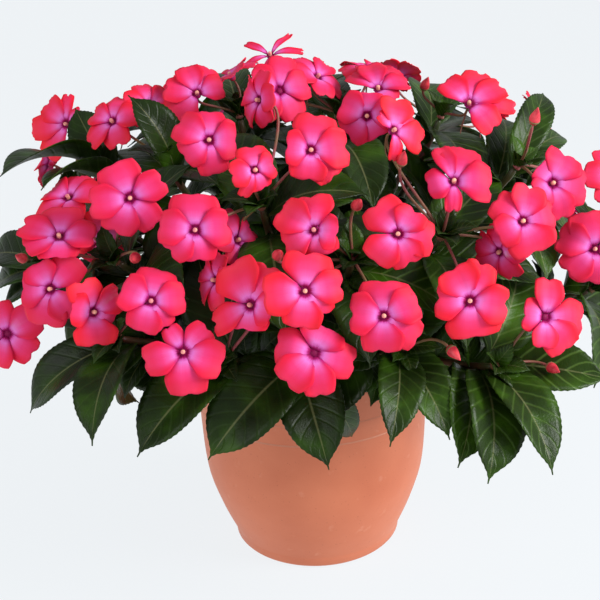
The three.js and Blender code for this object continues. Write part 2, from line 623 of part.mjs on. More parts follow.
const targetsOf = (stem) => FRONT_STEMS[stem.index]?.leaves ?? [];
for (const stem of stems) {
  targetsOf(stem).forEach((target, k) => growLeaf(stem, target, k, LEAF_ROOTS.outer));
}
for (const stem of stems) {
  for (let k = targetsOf(stem).length; k < LEAVES_PER_STEM.outer; k++) {
    growLeaf(stem, null, k, LEAF_ROOTS.outer);
  }
}
for (const stem of stems) {
  const all = stem.index < FRONT_STEMS.length ? LEAVES_PER_STEM.front : LEAVES_PER_STEM.back;
  for (let k = Math.max(LEAVES_PER_STEM.outer, targetsOf(stem).length); k < all; k++) {
    growLeaf(stem, null, k, LEAF_ROOTS.inner);
  }
}

const plastic = new THREE.MeshStandardMaterial({ color: 0xc9785c, roughness: 0.5, metalness: 0 });
const earth = new THREE.MeshStandardMaterial({ color: 0x3a2a1e, roughness: 0.95, metalness: 0 });
const leafGreen = new THREE.MeshStandardMaterial({ color: 0x24401f, roughness: 0.4, metalness: 0 });
const petalPink = new THREE.MeshStandardMaterial({ color: 0xff3e72, roughness: 0.6, metalness: 0 });

const plant = new THREE.Group();
plant.add(meshOf("pot", pot, plastic));
plant.add(meshOf("potting_soil", makeSoil(stems), earth));
for (const { index, leafy, spray } of stems) {
  const number = String(index + 1).padStart(2, "0");
  plant.add(meshOf(`leafy_stem_${number}`, join(leafy), leafGreen));
  if (spray.length > 1) plant.add(meshOf(`flower_spray_${number}`, join(spray), petalPink));
}
export default plant;
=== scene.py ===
# %% [markdown]
# # A New Guinea impatiens in full bloom
#
# The plant is a mound of fleshy stems with long pointed leaves and flat five-petalled flowers, in a
# plastic pot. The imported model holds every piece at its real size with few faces. This script loads it
# as a fixed frame and lays the fine pieces over it: rippled petals with a dark eye, veined and toothed
# leaves, round stems, a turned pot and crumbly soil. Pieces are made in millimetres.

# %% The frame
import math

import bmesh
import bpy
from mathutils import Matrix, Vector, noise
from mathutils.kdtree import KDTree


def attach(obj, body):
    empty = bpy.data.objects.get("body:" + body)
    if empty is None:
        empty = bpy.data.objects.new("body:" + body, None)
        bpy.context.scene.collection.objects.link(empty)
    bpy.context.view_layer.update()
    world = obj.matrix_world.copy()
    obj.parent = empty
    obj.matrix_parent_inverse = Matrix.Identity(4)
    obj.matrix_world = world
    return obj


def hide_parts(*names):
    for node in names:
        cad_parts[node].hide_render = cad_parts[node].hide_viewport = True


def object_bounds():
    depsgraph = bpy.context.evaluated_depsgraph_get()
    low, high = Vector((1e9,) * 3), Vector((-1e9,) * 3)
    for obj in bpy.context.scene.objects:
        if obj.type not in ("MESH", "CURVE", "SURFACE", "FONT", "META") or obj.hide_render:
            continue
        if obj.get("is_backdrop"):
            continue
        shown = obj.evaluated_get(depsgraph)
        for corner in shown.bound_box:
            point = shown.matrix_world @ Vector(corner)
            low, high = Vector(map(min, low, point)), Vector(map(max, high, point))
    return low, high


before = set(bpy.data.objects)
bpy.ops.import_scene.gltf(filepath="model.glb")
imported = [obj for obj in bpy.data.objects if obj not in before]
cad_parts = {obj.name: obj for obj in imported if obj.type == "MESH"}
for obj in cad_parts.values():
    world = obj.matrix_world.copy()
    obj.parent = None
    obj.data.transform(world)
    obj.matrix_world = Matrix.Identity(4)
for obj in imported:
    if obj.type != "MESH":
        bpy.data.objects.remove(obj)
cad_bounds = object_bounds()
MM = 0.001
UP = Vector((0, 0, 1))


def add_object(name, data):
    made = bpy.data.objects.new(name, data)
    bpy.context.scene.collection.objects.link(made)
    return made


def mesh_of(body, name):
    mesh = bpy.data.meshes.new(name)
    body.to_mesh(mesh)
    body.free()
    return mesh


print("frame:", len(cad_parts), "nodes, highest point", round(cad_bounds[1].z / MM), "mm")

# %% [markdown]
# ## Camera
#
# The camera stands a little over a metre away, looks down on the plant and leans slightly. The same eye
# says where each flower goes: a flower is seen at a point of the 600 by 600 picture, and lies where the
# sight line through that point meets the crown.

# %% Camera
# The eye's place, how far it looks down and leans; the picture's side and the focal length in pixels, and
# the sensor in mm.
EYE = Vector((-9, -1020, 656))
EYE_DOWN, EYE_LEAN = math.radians(21.2), math.radians(2.4)
PICTURE, EYE_FOCAL, SENSOR = 600, 1085, 36

AHEAD = Vector((0, math.cos(EYE_DOWN), -math.sin(EYE_DOWN)))
LEVEL_UP = Vector((0, math.sin(EYE_DOWN), math.cos(EYE_DOWN)))
LEVEL_RIGHT = Vector((1, 0, 0))
VIEW_RIGHT = LEVEL_RIGHT * math.cos(EYE_LEAN) - LEVEL_UP * math.sin(EYE_LEAN)
VIEW_UP = LEVEL_RIGHT * math.sin(EYE_LEAN) + LEVEL_UP * math.cos(EYE_LEAN)


def sight_line(x, y):
    right, fall = (x - PICTURE / 2) / EYE_FOCAL, (y - PICTURE / 2) / EYE_FOCAL
    return (AHEAD + VIEW_RIGHT * right - VIEW_UP * fall).normalized()


camera = add_object("camera", bpy.data.cameras.new("camera"))
camera.data.sensor_width = SENSOR
camera.data.lens = EYE_FOCAL * SENSOR / PICTURE
view_axes = Matrix((VIEW_RIGHT, VIEW_UP, -AHEAD)).transposed().to_4x4()
camera.matrix_world = Matrix.Translation(EYE * MM) @ view_axes
bpy.context.scene.camera = camera
print("camera:", round(camera.data.lens, 1), "mm lens")

# %% [markdown]
# ## Where things grow
#
# Flowers, buds, stems and leaves are listed as the solids list them: where each is seen, its size and
# how it turns. The crown is a rounded box that the flowers' faces lie on. A solid that would touch its
# neighbours was moved a little further along, so the place of each is looked up: of all the places that
# it may have been given, the right one is where the frame has its corners.

# %% Flowers and buds, front
# Each flower: seen at x, y; size across; face turned right, up; top petal turned by degrees.
FRONT_FLOWERS = [
    (182, 353, 64, 0.0, 0.05, 180), (313, 352, 68, 0.05, 0.0, 10), (383, 316, 58, 0.0, 0.1, 0),
    (470, 301, 62, 0.05, 0.05, -30), (554, 315, 62, 0.45, 0.05, 40), (305, 292, 65, 0.1, 0.0, 20),
    (240, 294, 62, -0.45, 0.1, -20), (151, 301, 56, 0.0, 0.1, 0), (92, 315, 52, 0.4, -0.1, 30),
    (52, 291, 60, -0.35, 0.0, -15), (7, 334, 64, -0.3, -0.1, 15), (399, 233, 57, 0.05, 0.1, 40),
    (305, 225, 54, -0.2, 0.2, -10), (195, 230, 60, 0.0, 0.05, 5), (130, 197, 64, 0.0, 0.0, 25),
    (58, 230, 64, -0.1, 0.65, -25), (214, 280, 46, -0.8, 0.2, 0), (524, 222, 55, 0.3, 0.15, 30),
    (594, 247, 62, 0.15, 0.1, 0), (553, 183, 62, 0.4, 0.15, 10), (459, 173, 57, 0.1, 0.5, -10),
    (317, 147, 56, 0.1, 0.15, 15), (252, 170, 42, 0.3, 0.1, 0), (210, 139, 58, 0.05, 0.2, 20),
    (280, 90, 62, 0.3, 0.3, -15), (368, 115, 56, 0.0, 0.0, 0), (408, 122, 50, 0.5, 0.3, 20),
    (380, 78, 56, 0.05, 0.7, 0), (481, 97, 70, 0.15, 0.6, 10), (194, 92, 58, 0.05, 0.4, -10),
    (112, 121, 56, -0.45, 0.5, 0), (55, 126, 66, -0.55, 0.1, 0), (270, 50, 62, -0.1, 0.75, 0),
    (318, 76, 56, 0.55, 0.7, 0), (258, 100, 52, -0.8, 0.1, 0), (68, 197, 60, -0.3, 0.75, 0),
    (103, 238, 54, 0.3, -0.3, 0), (238, 240, 52, 0.7, 0.2, 0), (150, 104, 50, 0.3, 0.5, 0),
    (499, 252, 50, -0.5, -0.3, 0), (612, 178, 58, 0.6, 0.3, 0),
]
# Flowers that stand behind others: how deep they lie, as a share of the crown.
SET_BACK = {(214, 280): 0.95, (68, 197): 0.95, (103, 238): 0.86, (238, 240): 0.9, (499, 252): 0.86}
# Flowers whose petals can be told apart: where the eye is seen, then each petal's tip and width in mm.
PETAL_TIPS = {
    (182, 353): [(183, 352), (168, 326, 17), (208, 327, 23), (224, 363, 32), (189, 396, 34), (143, 363, 27)],
    (313, 352): [(314, 353), (327, 327, 38), (356, 365, 29), (321, 397, 27), (284, 384, 32), (275, 345, 32)],
    (383, 316): [(384, 316), (386, 280, 42), (419, 301, 30), (419, 339, 28), (382, 353, 34), (349, 313, 34)],
    (470, 301): [(470, 301), (453, 267, 34), (484, 261, 28), (509, 307, 32), (476, 338, 44), (435, 298, 34)],
    (554, 315): [(546, 317), (549, 277, 26), (587, 320, 34), (568, 351, 32), (542, 349, 24), (522, 313, 28)],
    (305, 292): [(305, 291), (310, 251, 40), (344, 284, 27), (323, 318, 30), (300, 329, 32), (262, 296, 34)],
    (240, 294): [(250, 305), (231, 258, 40), (268, 264, 32), (273, 311, 28), (247, 331, 36), (211, 326, 24)],
    (151, 301): [(151, 301), (159, 268, 34), (186, 297, 28), (165, 329, 24), (140, 332, 29), (121, 288, 31)],
    (92, 315): [(94, 312), (81, 280, 30), (121, 292, 24), (115, 322, 26), (96, 347, 36), (71, 309, 28)],
    (52, 291): [(50, 289), (77, 257, 30), (36, 263, 30), (21, 289, 32), (42, 327, 38), (72, 316, 27)],
    (399, 233): [(398, 234), (375, 202, 34), (417, 209, 28), (435, 240, 30), (411, 265, 29), (373, 261, 30)],
    (305, 225): [(314, 230), (309, 193, 36), (338, 234, 28), (325, 255, 28), (283, 247, 30), (279, 209, 30)],
    (195, 230): [(195, 230), (194, 193, 40), (231, 226, 31), (197, 262, 33), (168, 253, 29), (158, 226, 29)],
    (130, 197): [(130, 198), (113, 163, 36), (164, 179, 25), (156, 226, 26), (115, 234, 31), (88, 204, 28)],
    (58, 230): [(59, 236), (62, 204, 38), (96, 236, 30), (57, 258, 36), (24, 248, 28), (20, 225, 28)],
    (524, 222): [(523, 221), (494, 200, 27), (531, 184, 30), (557, 213, 29), (537, 254, 40), (497, 236, 28)],
    (594, 247): [(595, 249), (558, 234, 30), (585, 211, 35), (566, 274, 29), (593, 284, 35), (632, 248, 32)],
    (553, 183): [(553, 183), (568, 152, 36), (587, 188, 34), (566, 219, 26), (535, 197, 27), (539, 167, 26)],
    (459, 173): [(454, 181), (464, 143, 36), (493, 184, 37), (453, 212, 14), (427, 186, 30), (439, 144, 18)],
    (317, 147): [(311, 150), (318, 113, 37), (350, 147, 34), (334, 179, 27), (306, 181, 31), (285, 148, 30)],
    (252, 170): [(255, 170), (252, 145, 28), (274, 163, 23), (264, 189, 20), (244, 197, 11), (230, 176, 23)],
    (210, 139): [(209, 140), (207, 110, 30), (237, 141, 34), (215, 175, 27), (183, 157, 28), (176, 122, 29)],
    (194, 92): [(197, 93), (185, 65, 25), (208, 65, 27), (224, 86, 25), (172, 117, 35), (163, 89, 27)],
    (481, 97): [(469, 103), (444, 80, 28), (480, 68, 30), (504, 86, 28), (520, 105, 20), (496, 127, 28)],
    (55, 126): [(66, 124), (67, 93, 15), (45, 101, 29), (28, 130, 26), (44, 159, 28), (82, 110, 12)],
    (368, 115): [(367, 116), (341, 103, 30), (367, 92, 30), (395, 112, 26), (378, 138, 30), (346, 136, 30)],
    (408, 122): [(394, 130), (396, 96, 31), (415, 114, 27), (430, 142, 26), (396, 160, 12), (378, 113, 12)],
    (380, 78): [(378, 88), (350, 72, 24), (367, 57, 27), (396, 62, 25), (409, 80, 23), (388, 100, 30)],
    (270, 50): [(270, 54), (291, 30, 9), (304, 50, 10), (278, 70, 22), (243, 66, 9), (245, 44, 10)],
}
# Flowers whose pale column has dropped, so that the eye is dark.
BARE_EYES = {(313, 352), (554, 315), (7, 334), (280, 90)}
# Each bud: seen at x, y; turned right, up.
FRONT_BUDS = [
    (453, 352, 0.55, -0.6), (552, 368, 0.6, -0.3), (530, 387, 0.4, -0.6), (22, 258, -0.5, 0.3),
    (135, 258, -0.2, -0.2), (278, 255, 0.2, 0.3), (357, 205, 0.3, 0.4), (402, 160, 0.2, 0.7),
    (425, 85, 0.3, 0.7), (535, 118, 0.2, 0.8),
]
# Buds that stand before a leaf: how far out they lie, as a share of the crown.
SET_FORWARD = {(535, 118): 1.1}
# Rows of flowers round the back: height on the crown, how many, and the first one's bearing, in degrees.
BACK_FLOWERS = [(14, 6, 104), (33, 6, 98), (47, 3, 146), (77, 3, 90)]
# Their sizes, and how much the bearing, the height and the tilt of each may differ.
BACK_ACROSS = (52, 60)
SPREAD_BEARING, SPREAD_HEIGHT, SPREAD_TILT = 8, 10, 0.5

# %% Stems and their leaves
# Each front stem: its tip seen at x, y; how deep, as a share of the crown; and the tip and width of each
# leaf that shows.
FRONT_STEMS = [
    (120, 338, 0.86, [(30, 413, 40), (92, 446, 40), (139, 403, 36), (86, 412, 44)]),
    (225, 362, 0.78, [(137, 457, 46), (128, 380, 44)]),
    (296, 362, 0.76, [(208, 460, 52), (329, 470, 48), (352, 437, 26)]),
    (402, 350, 0.8, [(390, 447, 34), (450, 440, 38), (421, 412, 38)]),
    (493, 366, 0.86, [(553, 475, 42), (488, 484, 50), (612, 380, 48), (458, 468, 44), (516, 262, 46)]),
    (48, 262, 0.88, [(-12, 262, 38), (-8, 298, 44)]),
    (98, 163, 0.88, [(-2, 178, 54), (75, 108, 40), (41, 190, 36)]),
    (168, 165, 0.82, [(128, 95, 40), (220, 186, 40), (128, 150, 44)]),
    (240, 118, 0.84, [(226, 74, 36)]),
    (338, 118, 0.84, [(318, 90, 36), (374, 212, 44)]),
    (440, 118, 0.86, [(466, 205, 44), (417, 84, 40)]),
    (516, 168, 0.88, [(543, 93, 28), (563, 137, 30), (500, 118, 40), (547, 284, 46)]),
    (590, 290, 0.86, [(594, 388, 50), (610, 190, 40), (548, 215, 44), (640, 350, 46), (580, 200, 40)]),
    (262, 208, 0.8, []),
    (440, 238, 0.8, [(545, 282, 44)]),
    (352, 262, 0.8, []),
    (118, 262, 0.82, []),
]
# Each back stem: its bearing from the front, clockwise from above, and its height on the crown.
BACK_STEMS = [
    (98, 28), (122, 12), (140, 40), (160, 14), (181, 34), (200, 12), (222, 38), (240, 14), (264, 30),
    (180, 68),
]
BACK_SHARE = 0.86

# %% Sizes that the solids share
# The soil: the height of its edge, and how much its middle stands higher.
SOIL_TOP, SOIL_CROWN = 190, 6
# Stems: the height of their feet, the ring that they stand on, how far they run straight up at the soil
# and straight out at the tip, and how much they rise there.
STEM_FOOT, STEM_RING, STEM_STRAIGHT, STEM_LEAD, STEM_RISE = 165, 78, 70, 70, 0.35
# Leaves: their size; how much they fold up, arch, wave and look up.
LEAF_LENGTH, LEAF_WIDTHS, LEAF_THICK, SHORT_LEAF = 112, (40, 52), 0.8, 0.85
LEAF_FOLD, LEAF_ARCH, LEAF_WAVE, LEAF_LOOK_UP = 0.3, 0.2, 1.6, 0.8
# Whorls of leaves: how far below the tip they start, how far apart they stand, and on how many levels.
OUTER_WHORL, INNER_WHORL = (14, 9, 4), (60, 22, 3)
OUTER_LEAVES, FRONT_LEAVES, BACK_LEAVES = 4, 6, 5
# Flowers: how far a petal's edge lifts, how much the flower is cupped and droops, where its stalk starts
# behind it; a petal's width and notch, as shares of the radius.
FLOWER_LIFT, FLOWER_CUP, FLOWER_DROOP, FLOWER_BACK = 2.4, 3, 0.6, 7
PETAL_WIDE, PETAL_NOTCH, PETAL_THICK = 0.55, 0.89, 0.7
# Stalks: how far they keep straight at their ends, and where they leave the stem's tip.
STALK_LEAD, STALK_MOST_LEAD, STALK_RISE, SPROUT = 32, 0.45, 0.3, 4.2
BUD_RADIUS, BUD_NECK, BUD_BACK, BUD_TIP, BUD_SHARE = 5, 4, 7, 11, 0.96

# %% Reading the crown
CROWN_MIDDLE, CROWN_HALF, CROWN_POWER = Vector((0, 0, 250)), Vector((292, 262, 240)), 2.7
# Where a sight line is tried, by distance from the eye.
SIGHT_TRIES = range(600, 1500, 2)
# Uneven factors, which scatter whole numbers evenly between 0 and 1.
SCATTER_A, SCATTER_B, SCATTER = 12.9898, 78.233, 43758.5453


def draw(a, b):
    """A fixed draw between 0 and 1 for two whole numbers, the same on every run."""
    s = math.sin(a * SCATTER_A + b * SCATTER_B) * SCATTER
    return s - math.floor(s)


def between(pair, share):
    return pair[0] + (pair[1] - pair[0]) * share


def crown_share(point):
    """1 on the crown's surface, less inside it."""
    p = point - CROWN_MIDDLE
    return sum(abs(v / h) ** CROWN_POWER for v, h in zip(p, CROWN_HALF)) ** (1 / CROWN_POWER)


def meet_crown(x, y, share):
    """Where a sight line first meets the crown shrunk to a share, or passes nearest to its middle."""
    line = sight_line(x, y)
    points = [EYE + line * far for far in SIGHT_TRIES]
    for point in points:
        if crown_share(point) < share:
            return point
    return min(points, key=crown_share)


def face_turned(point, right, up):
    back = (EYE - point).normalized()
    side = UP.cross(back).normalized()
    ahead = math.sqrt(max(0, 1 - right * right - up * up))
    return (side * right + back.cross(side) * up + back * ahead).normalized()


def outwards(point):
    p = point - CROWN_MIDDLE
    return Vector([v / h for v, h in zip(p, CROWN_HALF)]).normalized()


def crown_point(bearing, height, share):
    b, h = math.radians(bearing), math.radians(height)
    way = Vector((-math.sin(b) * math.cos(h), -math.cos(b) * math.cos(h), math.sin(h)))
    return CROWN_MIDDLE + way * share / crown_share(CROWN_MIDDLE + way)


# %% Curves
CHORDS, HEADING_STEP = 200, 1e-4


def bezier(curve, t):
    a, b, c, d = curve
    s = 1 - t
    return a * s**3 + b * 3 * s * s * t + c * 3 * s * t * t + d * t**3


def heading(curve, t):
    t0, t1 = max(0, t - HEADING_STEP), min(1, t + HEADING_STEP)
    return (bezier(curve, t1) - bezier(curve, t0)).normalized()


def chord_lengths(curve):
    points = [bezier(curve, i / CHORDS) for i in range(CHORDS + 1)]
    lengths = [0]
    for a, b in zip(points, points[1:]):
        lengths.append(lengths[-1] + (b - a).length)
    return lengths


def share_at(lengths, distance):
    """The curve's own parameter at a distance along it."""
    i = next(i for i in range(1, CHORDS + 1) if lengths[i] >= distance)
    return (i - 1 + (distance - lengths[i - 1]) / (lengths[i] - lengths[i - 1])) / CHORDS


# %% Stems
class Stem:
    """A stem's curve from the soil to its tip, its nodes' names, and what was found to grow on it."""

    def __init__(self, number, tip):
        self.number, self.tip = number, tip
        self.label = f"{number + 1:02d}"
        lean = math.atan2(math.hypot(tip.x, tip.y), tip.z - SOIL_TOP) / (math.pi / 2)
        ring = Vector((tip.x, tip.y, 0)).normalized() * STEM_RING * min(1, lean)
        foot = ring + UP * STEM_FOOT
        self.axis = (outwards(tip) + UP * STEM_RISE).normalized()
        self.curve = (foot, ring + UP * (SOIL_TOP + STEM_STRAIGHT), tip - self.axis * STEM_LEAD, tip)
        self.lengths = chord_lengths(self.curve)
        self.leaves, self.flowers, self.buds = [], [], []

    def below_tip(self, distance):
        return share_at(self.lengths, self.lengths[-1] - distance)


tips = [meet_crown(*tip) for *tip, _ in FRONT_STEMS]
tips += [crown_point(*tip, BACK_SHARE) for tip in BACK_STEMS]
stems = [Stem(number, tip) for number, tip in enumerate(tips)]
print("stems:", len(stems), "the longest", round(max(s.lengths[-1] for s in stems)), "mm")

# %% Looking up corners in the frame
NEAR_ENOUGH = 0.05


def corners_of(node):
    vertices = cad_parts[node].data.vertices
    tree = KDTree(len(vertices))
    for i, vertex in enumerate(vertices):
        tree.insert(vertex.co / MM, i)
    tree.balance()
    return tree


def found(tree, points):
    return sum(tree.find(point)[2] < NEAR_ENOUGH for point in points)


leafy = {stem.number: corners_of(f"leafy_stem_{stem.label}") for stem in stems}
sprays = {
    stem.number: corners_of(f"flower_spray_{stem.label}")
    for stem in stems
    if f"flower_spray_{stem.label}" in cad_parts
}

# %% Finding the flowers and buds
SHIFTS = (0, 8, -8, 16, -16, 24, -24, 34, 44, 54, 66)


def facing(at, face, spin):
    """The matrix that lays +Z along a flower's face and +Y towards its top petal."""
    top = Matrix.Rotation(math.radians(spin), 3, face) @ UP
    side = top.cross(face).normalized()
    return Matrix.Translation(at) @ Matrix((side, face.cross(side), face)).transposed().to_4x4()


def notches(at, face, across, spin):
    """The points where the five petals are notched, on the front of the flower."""
    matrix = facing(at, face, spin)
    out = PETAL_NOTCH
    z = FLOWER_CUP * (math.sin(math.pi * out) - FLOWER_DROOP * out) + PETAL_THICK / 2
    turns = [Matrix.Rotation(k * math.tau / 5, 4, "Z") for k in range(5)]
    return [matrix @ turn @ Vector((0, out * across / 2, z)) for turn in turns]


def where_grown(start, along, corners):
    """The place along a line whose corners the frame has, and the stem that it grows on."""
    for shift in SHIFTS:
        at = start + along * shift
        points = corners(at)
        for number, tree in sprays.items():
            if found(tree, points) == len(points):
                return at, stems[number]
    return None, None


wanted = []
for x, y, across, right, up, spin in FRONT_FLOWERS:
    at = meet_crown(x, y, SET_BACK.get((x, y), 1))
    wanted.append((at, face_turned(at, right, up), sight_line(x, y), across, spin, (x, y)))
for row, (height, count, first) in enumerate(BACK_FLOWERS):
    for k in range(count):
        even = first + (360 - 2 * first) * k / (count - 1)
        bearing = even + SPREAD_BEARING * (draw(row, k) - 0.5)
        at = crown_point(bearing, height + SPREAD_HEIGHT * (draw(k, row) - 0.5), 1)
        out = outwards(at)
        tilt = Vector([draw(row, k + step) - 0.5 for step in (20, 40, 60)])
        face = (out + tilt * SPREAD_TILT).normalized()
        across = between(BACK_ACROSS, draw(row, k + 80))
        wanted.append((at, face, -out, across, 360 * draw(row, k + 90), None))

flower_count = 0
for number, (at, face, along, across, spin, seen) in enumerate(wanted):
    place, stem = where_grown(at, along, lambda p: notches(p, face, across, spin))
    if stem:
        flower_count += 1
        stem.flowers.append((place, face, across, spin, seen, number))

buds = 0
for x, y, right, up in FRONT_BUDS:
    at = meet_crown(x, y, SET_FORWARD.get((x, y), BUD_SHARE))
    place, stem = where_grown(at, sight_line(x, y), lambda p: [p + face_turned(p, right, up) * BUD_TIP])
    if stem:
        stem.buds.append((place, face_turned(place, right, up)))
        buds += 1
print("found:", flower_count, "of", len(wanted), "flowers,", buds, "of", len(FRONT_BUDS), "buds")

# %% Finding the leaves
# What is tried for a leaf: how deep its tip lies, how much it arches, and its turn round the stem.
LEAF_DEPTHS = (1, 0.8, 0.6, -1, -0.8, 0.4, -0.6, 0.2)
LEAF_ARCHES = (1, 0.5, 1.5)
GOLDEN, NUDGE, TURNS, DROOP = 137.5, 7, 26, 0.25
LEAF_RISE, LEAF_LENGTHS = (0.1, 0.35), (0.8, 1)
# A direction that no stem has, to count turns from.
ASIDE = Vector((0.37, 0.2, 0.9))
# The rows of corners that a solid leaf has along it, and the share of its corners that must be found.
SHOWN_ROWS, PLAIN_ROWS, ENOUGH = (0.34, 0.7), (0.45,), 0.7
# Where a leaf's line is pulled, as shares along and of its bulge; how early it is widest, how full it
# is, and its waves.
PULLS = ((0.35, 1.3), (0.75, 0.9))
EARLY, FULL, WAVES, WAVE_APART = 0.85, 0.9, 9, 2
LEAF_ENDS = 0.001


def leaf_line(root, tip, face, arch):
    chord = tip - root
    flat = (face - chord * face.dot(chord) / chord.length_squared).normalized()
    bulge = flat * chord.length * arch
    return (root, *[root + chord * along + bulge * out for along, out in PULLS], tip), flat


def leaf_axes(curve, flat, s):
    along = heading(curve, min(max(s, LEAF_ENDS), 1 - LEAF_ENDS))
    side = along.cross(flat).normalized()
    return side, side.cross(along).normalized()


def leaf_half(s, width):
    return width / 2 * math.sin(math.pi * s**EARLY) ** FULL


def leaf_wave(s, swing, way):
    return LEAF_WAVE * math.sin(WAVES * s + swing + WAVE_APART * way)


def leaf_corners(curve, flat, width, swing, rows):
    up = leaf_axes(curve, flat, 1)[1] * LEAF_THICK / 2
    points = [curve[3] + up, curve[3] - up]
    for s in rows:
        side, up = leaf_axes(curve, flat, s)
        half = leaf_half(s, width)
        for way in (-1, 1):
            lift = half * LEAF_FOLD + leaf_wave(s, swing, way)
            edge = bezier(curve, s) + side * way * half + up * lift
            points += [edge + up * LEAF_THICK / 2, edge - up * LEAF_THICK / 2]
    return points


def leaf_tips(stem, root, target, k):
    if target:
        line = sight_line(*target[:2])
        foot = EYE + line * (root - EYE).dot(line)
        short = (foot - root).length_squared
        depths = [math.sqrt(max(0, (LEAF_LENGTH * long) ** 2 - short)) for long in reversed(LEAF_LENGTHS)]
        return [foot - line * depth * share for depth in depths for share in LEAF_DEPTHS]
    side = stem.axis.cross(ASIDE).normalized()
    made = []
    for n in range(TURNS):
        nudge = (1 if n % 2 else -1) * NUDGE * math.ceil(n / 2)
        turn = math.radians(k * GOLDEN + 360 * draw(stem.number, 7) + nudge)
        way = Matrix.Rotation(turn, 3, stem.axis) @ side
        way = (way + stem.axis * between(LEAF_RISE, draw(stem.number, k))).normalized()
        way = (way - UP * DROOP * (n % 3)).normalized()
        made.append(root + way * LEAF_LENGTH * between(LEAF_LENGTHS, draw(k, stem.number)))
    return made


def find_leaf(stem, target, k, whorl):
    tree = leafy[stem.number]
    below, apart, levels = whorl
    rows = SHOWN_ROWS if target else PLAIN_ROWS
    for lower in range(levels):
        root = bezier(stem.curve, stem.below_tip(below + apart * ((k + lower) % levels)))
        face = (outwards(root) + UP * LEAF_LOOK_UP).normalized()
        for tip in leaf_tips(stem, root, target, k):
            if tree.find(tip)[2] > LEAF_THICK:
                continue
            for arch in LEAF_ARCHES:
                curve, flat = leaf_line(root, tip, face, arch * LEAF_ARCH)
                full = target[2] if target else between(LEAF_WIDTHS, draw(stem.number, k + 30))
                width = full * min(1, (tip - root).length / (LEAF_LENGTH * SHORT_LEAF))
                points = leaf_corners(curve, flat, width, k, rows)
                if found(tree, points) >= ENOUGH * len(points):
                    return curve, flat, width, k
    return None


for stem in stems:
    front = stem.number < len(FRONT_STEMS)
    targets = FRONT_STEMS[stem.number][3] if front else []
    for k in range(max(FRONT_LEAVES if front else BACK_LEAVES, len(targets))):
        whorl = OUTER_WHORL if k < max(OUTER_LEAVES, len(targets)) else INNER_WHORL
        leaf = find_leaf(stem, targets[k] if k < len(targets) else None, k, whorl)
        if leaf:
            stem.leaves.append(leaf)
print("found:", sum(len(stem.leaves) for stem in stems), "leaves")

# %% [markdown]
# ## Materials
#
# A petal is thin watery tissue whose colour runs in rings and streaks from the dark eye to the rim, so
# its pattern follows two numbers stored at every corner: how far across the petal, and how far out from
# the flower's middle. A leaf stores the same kind of pair, for its veins, and both store a third number,
# which makes each one a little different; on a leaf it also holds painted light, paler towards the lit
# side of the plant. Pot and soil take plain noise in the object's own space, at sizes in millimetres,
# and the pot has a painted highlight along each of its two fine steps.
#
# One function turns colours, written as seen on a screen, to the linear values that are mixed. Another
# adds any node with its settings and its links.

# %% Colours and nodes
def linear(code):
    """A hex colour as seen on a screen, in linear values."""
    parts = [int(code[i : i + 2], 16) / 255 for i in (1, 3, 5)]
    return (*[v / 12.92 if v <= 0.04045 else ((v + 0.055) / 1.055) ** 2.4 for v in parts], 1)


def add(material, kind, settings=None, inputs=None, ramp=None):
    """Add a node. An input takes a value, or a node or socket to link from. A ramp lists its stops."""
    made = material.node_tree.nodes.new("ShaderNode" + kind)
    for name, value in (settings or {}).items():
        setattr(made, name, value)
    for name, value in (inputs or {}).items():
        source = value.outputs[0] if isinstance(value, bpy.types.Node) else value
        if isinstance(source, bpy.types.NodeSocket):
            material.node_tree.links.new(source, made.inputs[name])
        else:
            made.inputs[name].default_value = source
    if ramp:
        stops = made.color_ramp.elements
        for stop, (place, code) in zip(stops, (ramp[0], ramp[-1])):
            stop.position, stop.color = place, linear(code)
        for place, code in ramp[1:-1]:
            stops.new(place).color = linear(code)
    return made


def new_material(name):
    material = bpy.data.materials.new(name)
    material.use_nodes = True
    material.node_tree.nodes.clear()
    return material


def marks(m):
    """The three numbers that a sheet stores, and how far from its middle line a place is."""
    mark = add(m, "Attribute", {"attribute_name": "mark"})
    across, along, tint = add(m, "SeparateXYZ", inputs={0: mark.outputs["Vector"]}).outputs
    return across, along, tint, add(m, "Math", {"operation": "ABSOLUTE"}, {0: across})


def own_space(m, size, detail):
    """Inputs that give a noise features as large as size in mm, in the object's own space."""
    return {"Vector": add(m, "TexCoord").outputs["Object"], "Scale": 1 / (size * MM), "Detail": detail}


def cover(m, colour, rough, specular, relief=None, more=None):
    """End a material with its one shader. A relief is its height, strength and depth in mm."""
    inputs = {"Base Color": colour, "Roughness": rough, "Specular IOR Level": specular, **(more or {})}
    if relief:
        height, strength, deep = relief
        inputs["Normal"] = add(
            m, "Bump", inputs={"Strength": strength, "Distance": deep * MM, "Height": height}
        )
    add(m, "OutputMaterial", inputs={0: add(m, "BsdfPrincipled", inputs=inputs)})
    print("material:", m.name, "of", len(m.node_tree.nodes), "nodes")
    return m


SOFT = {"interpolation_type": "SMOOTHSTEP"}
TIMES, PLUS, TIMES_PLUS = [{"operation": name} for name in ("MULTIPLY", "ADD", "MULTIPLY_ADD")]

# %% Petal tissue
# Living petal: a matt skin over watery cells, which scatter light a little way in. Its middle is paler
# than its margins, whose redder, darker colour is partly the petal's own and partly painted shade where
# petals lap under their neighbours. A dark star runs round the eye.
PETAL_MIDDLE = [
    (0.08, "#8E0A4C"), (0.14, "#AE1068"), (0.18, "#E25CB8"), (0.24, "#F67CD2"), (0.36, "#FA5EAC"),
    (0.52, "#FC3E82"), (0.75, "#FC2E62"), (1.0, "#FC3456"),
]
# The margins: partly their own red, partly painted shade where a petal runs under its neighbour.
PETAL_MARGIN_AND_SHADE = [
    (0.08, "#8E0A4C"), (0.15, "#A00C5C"), (0.2, "#CC2080"), (0.32, "#EC2260"), (0.55, "#F21640"),
    (1.0, "#F82844"),
]

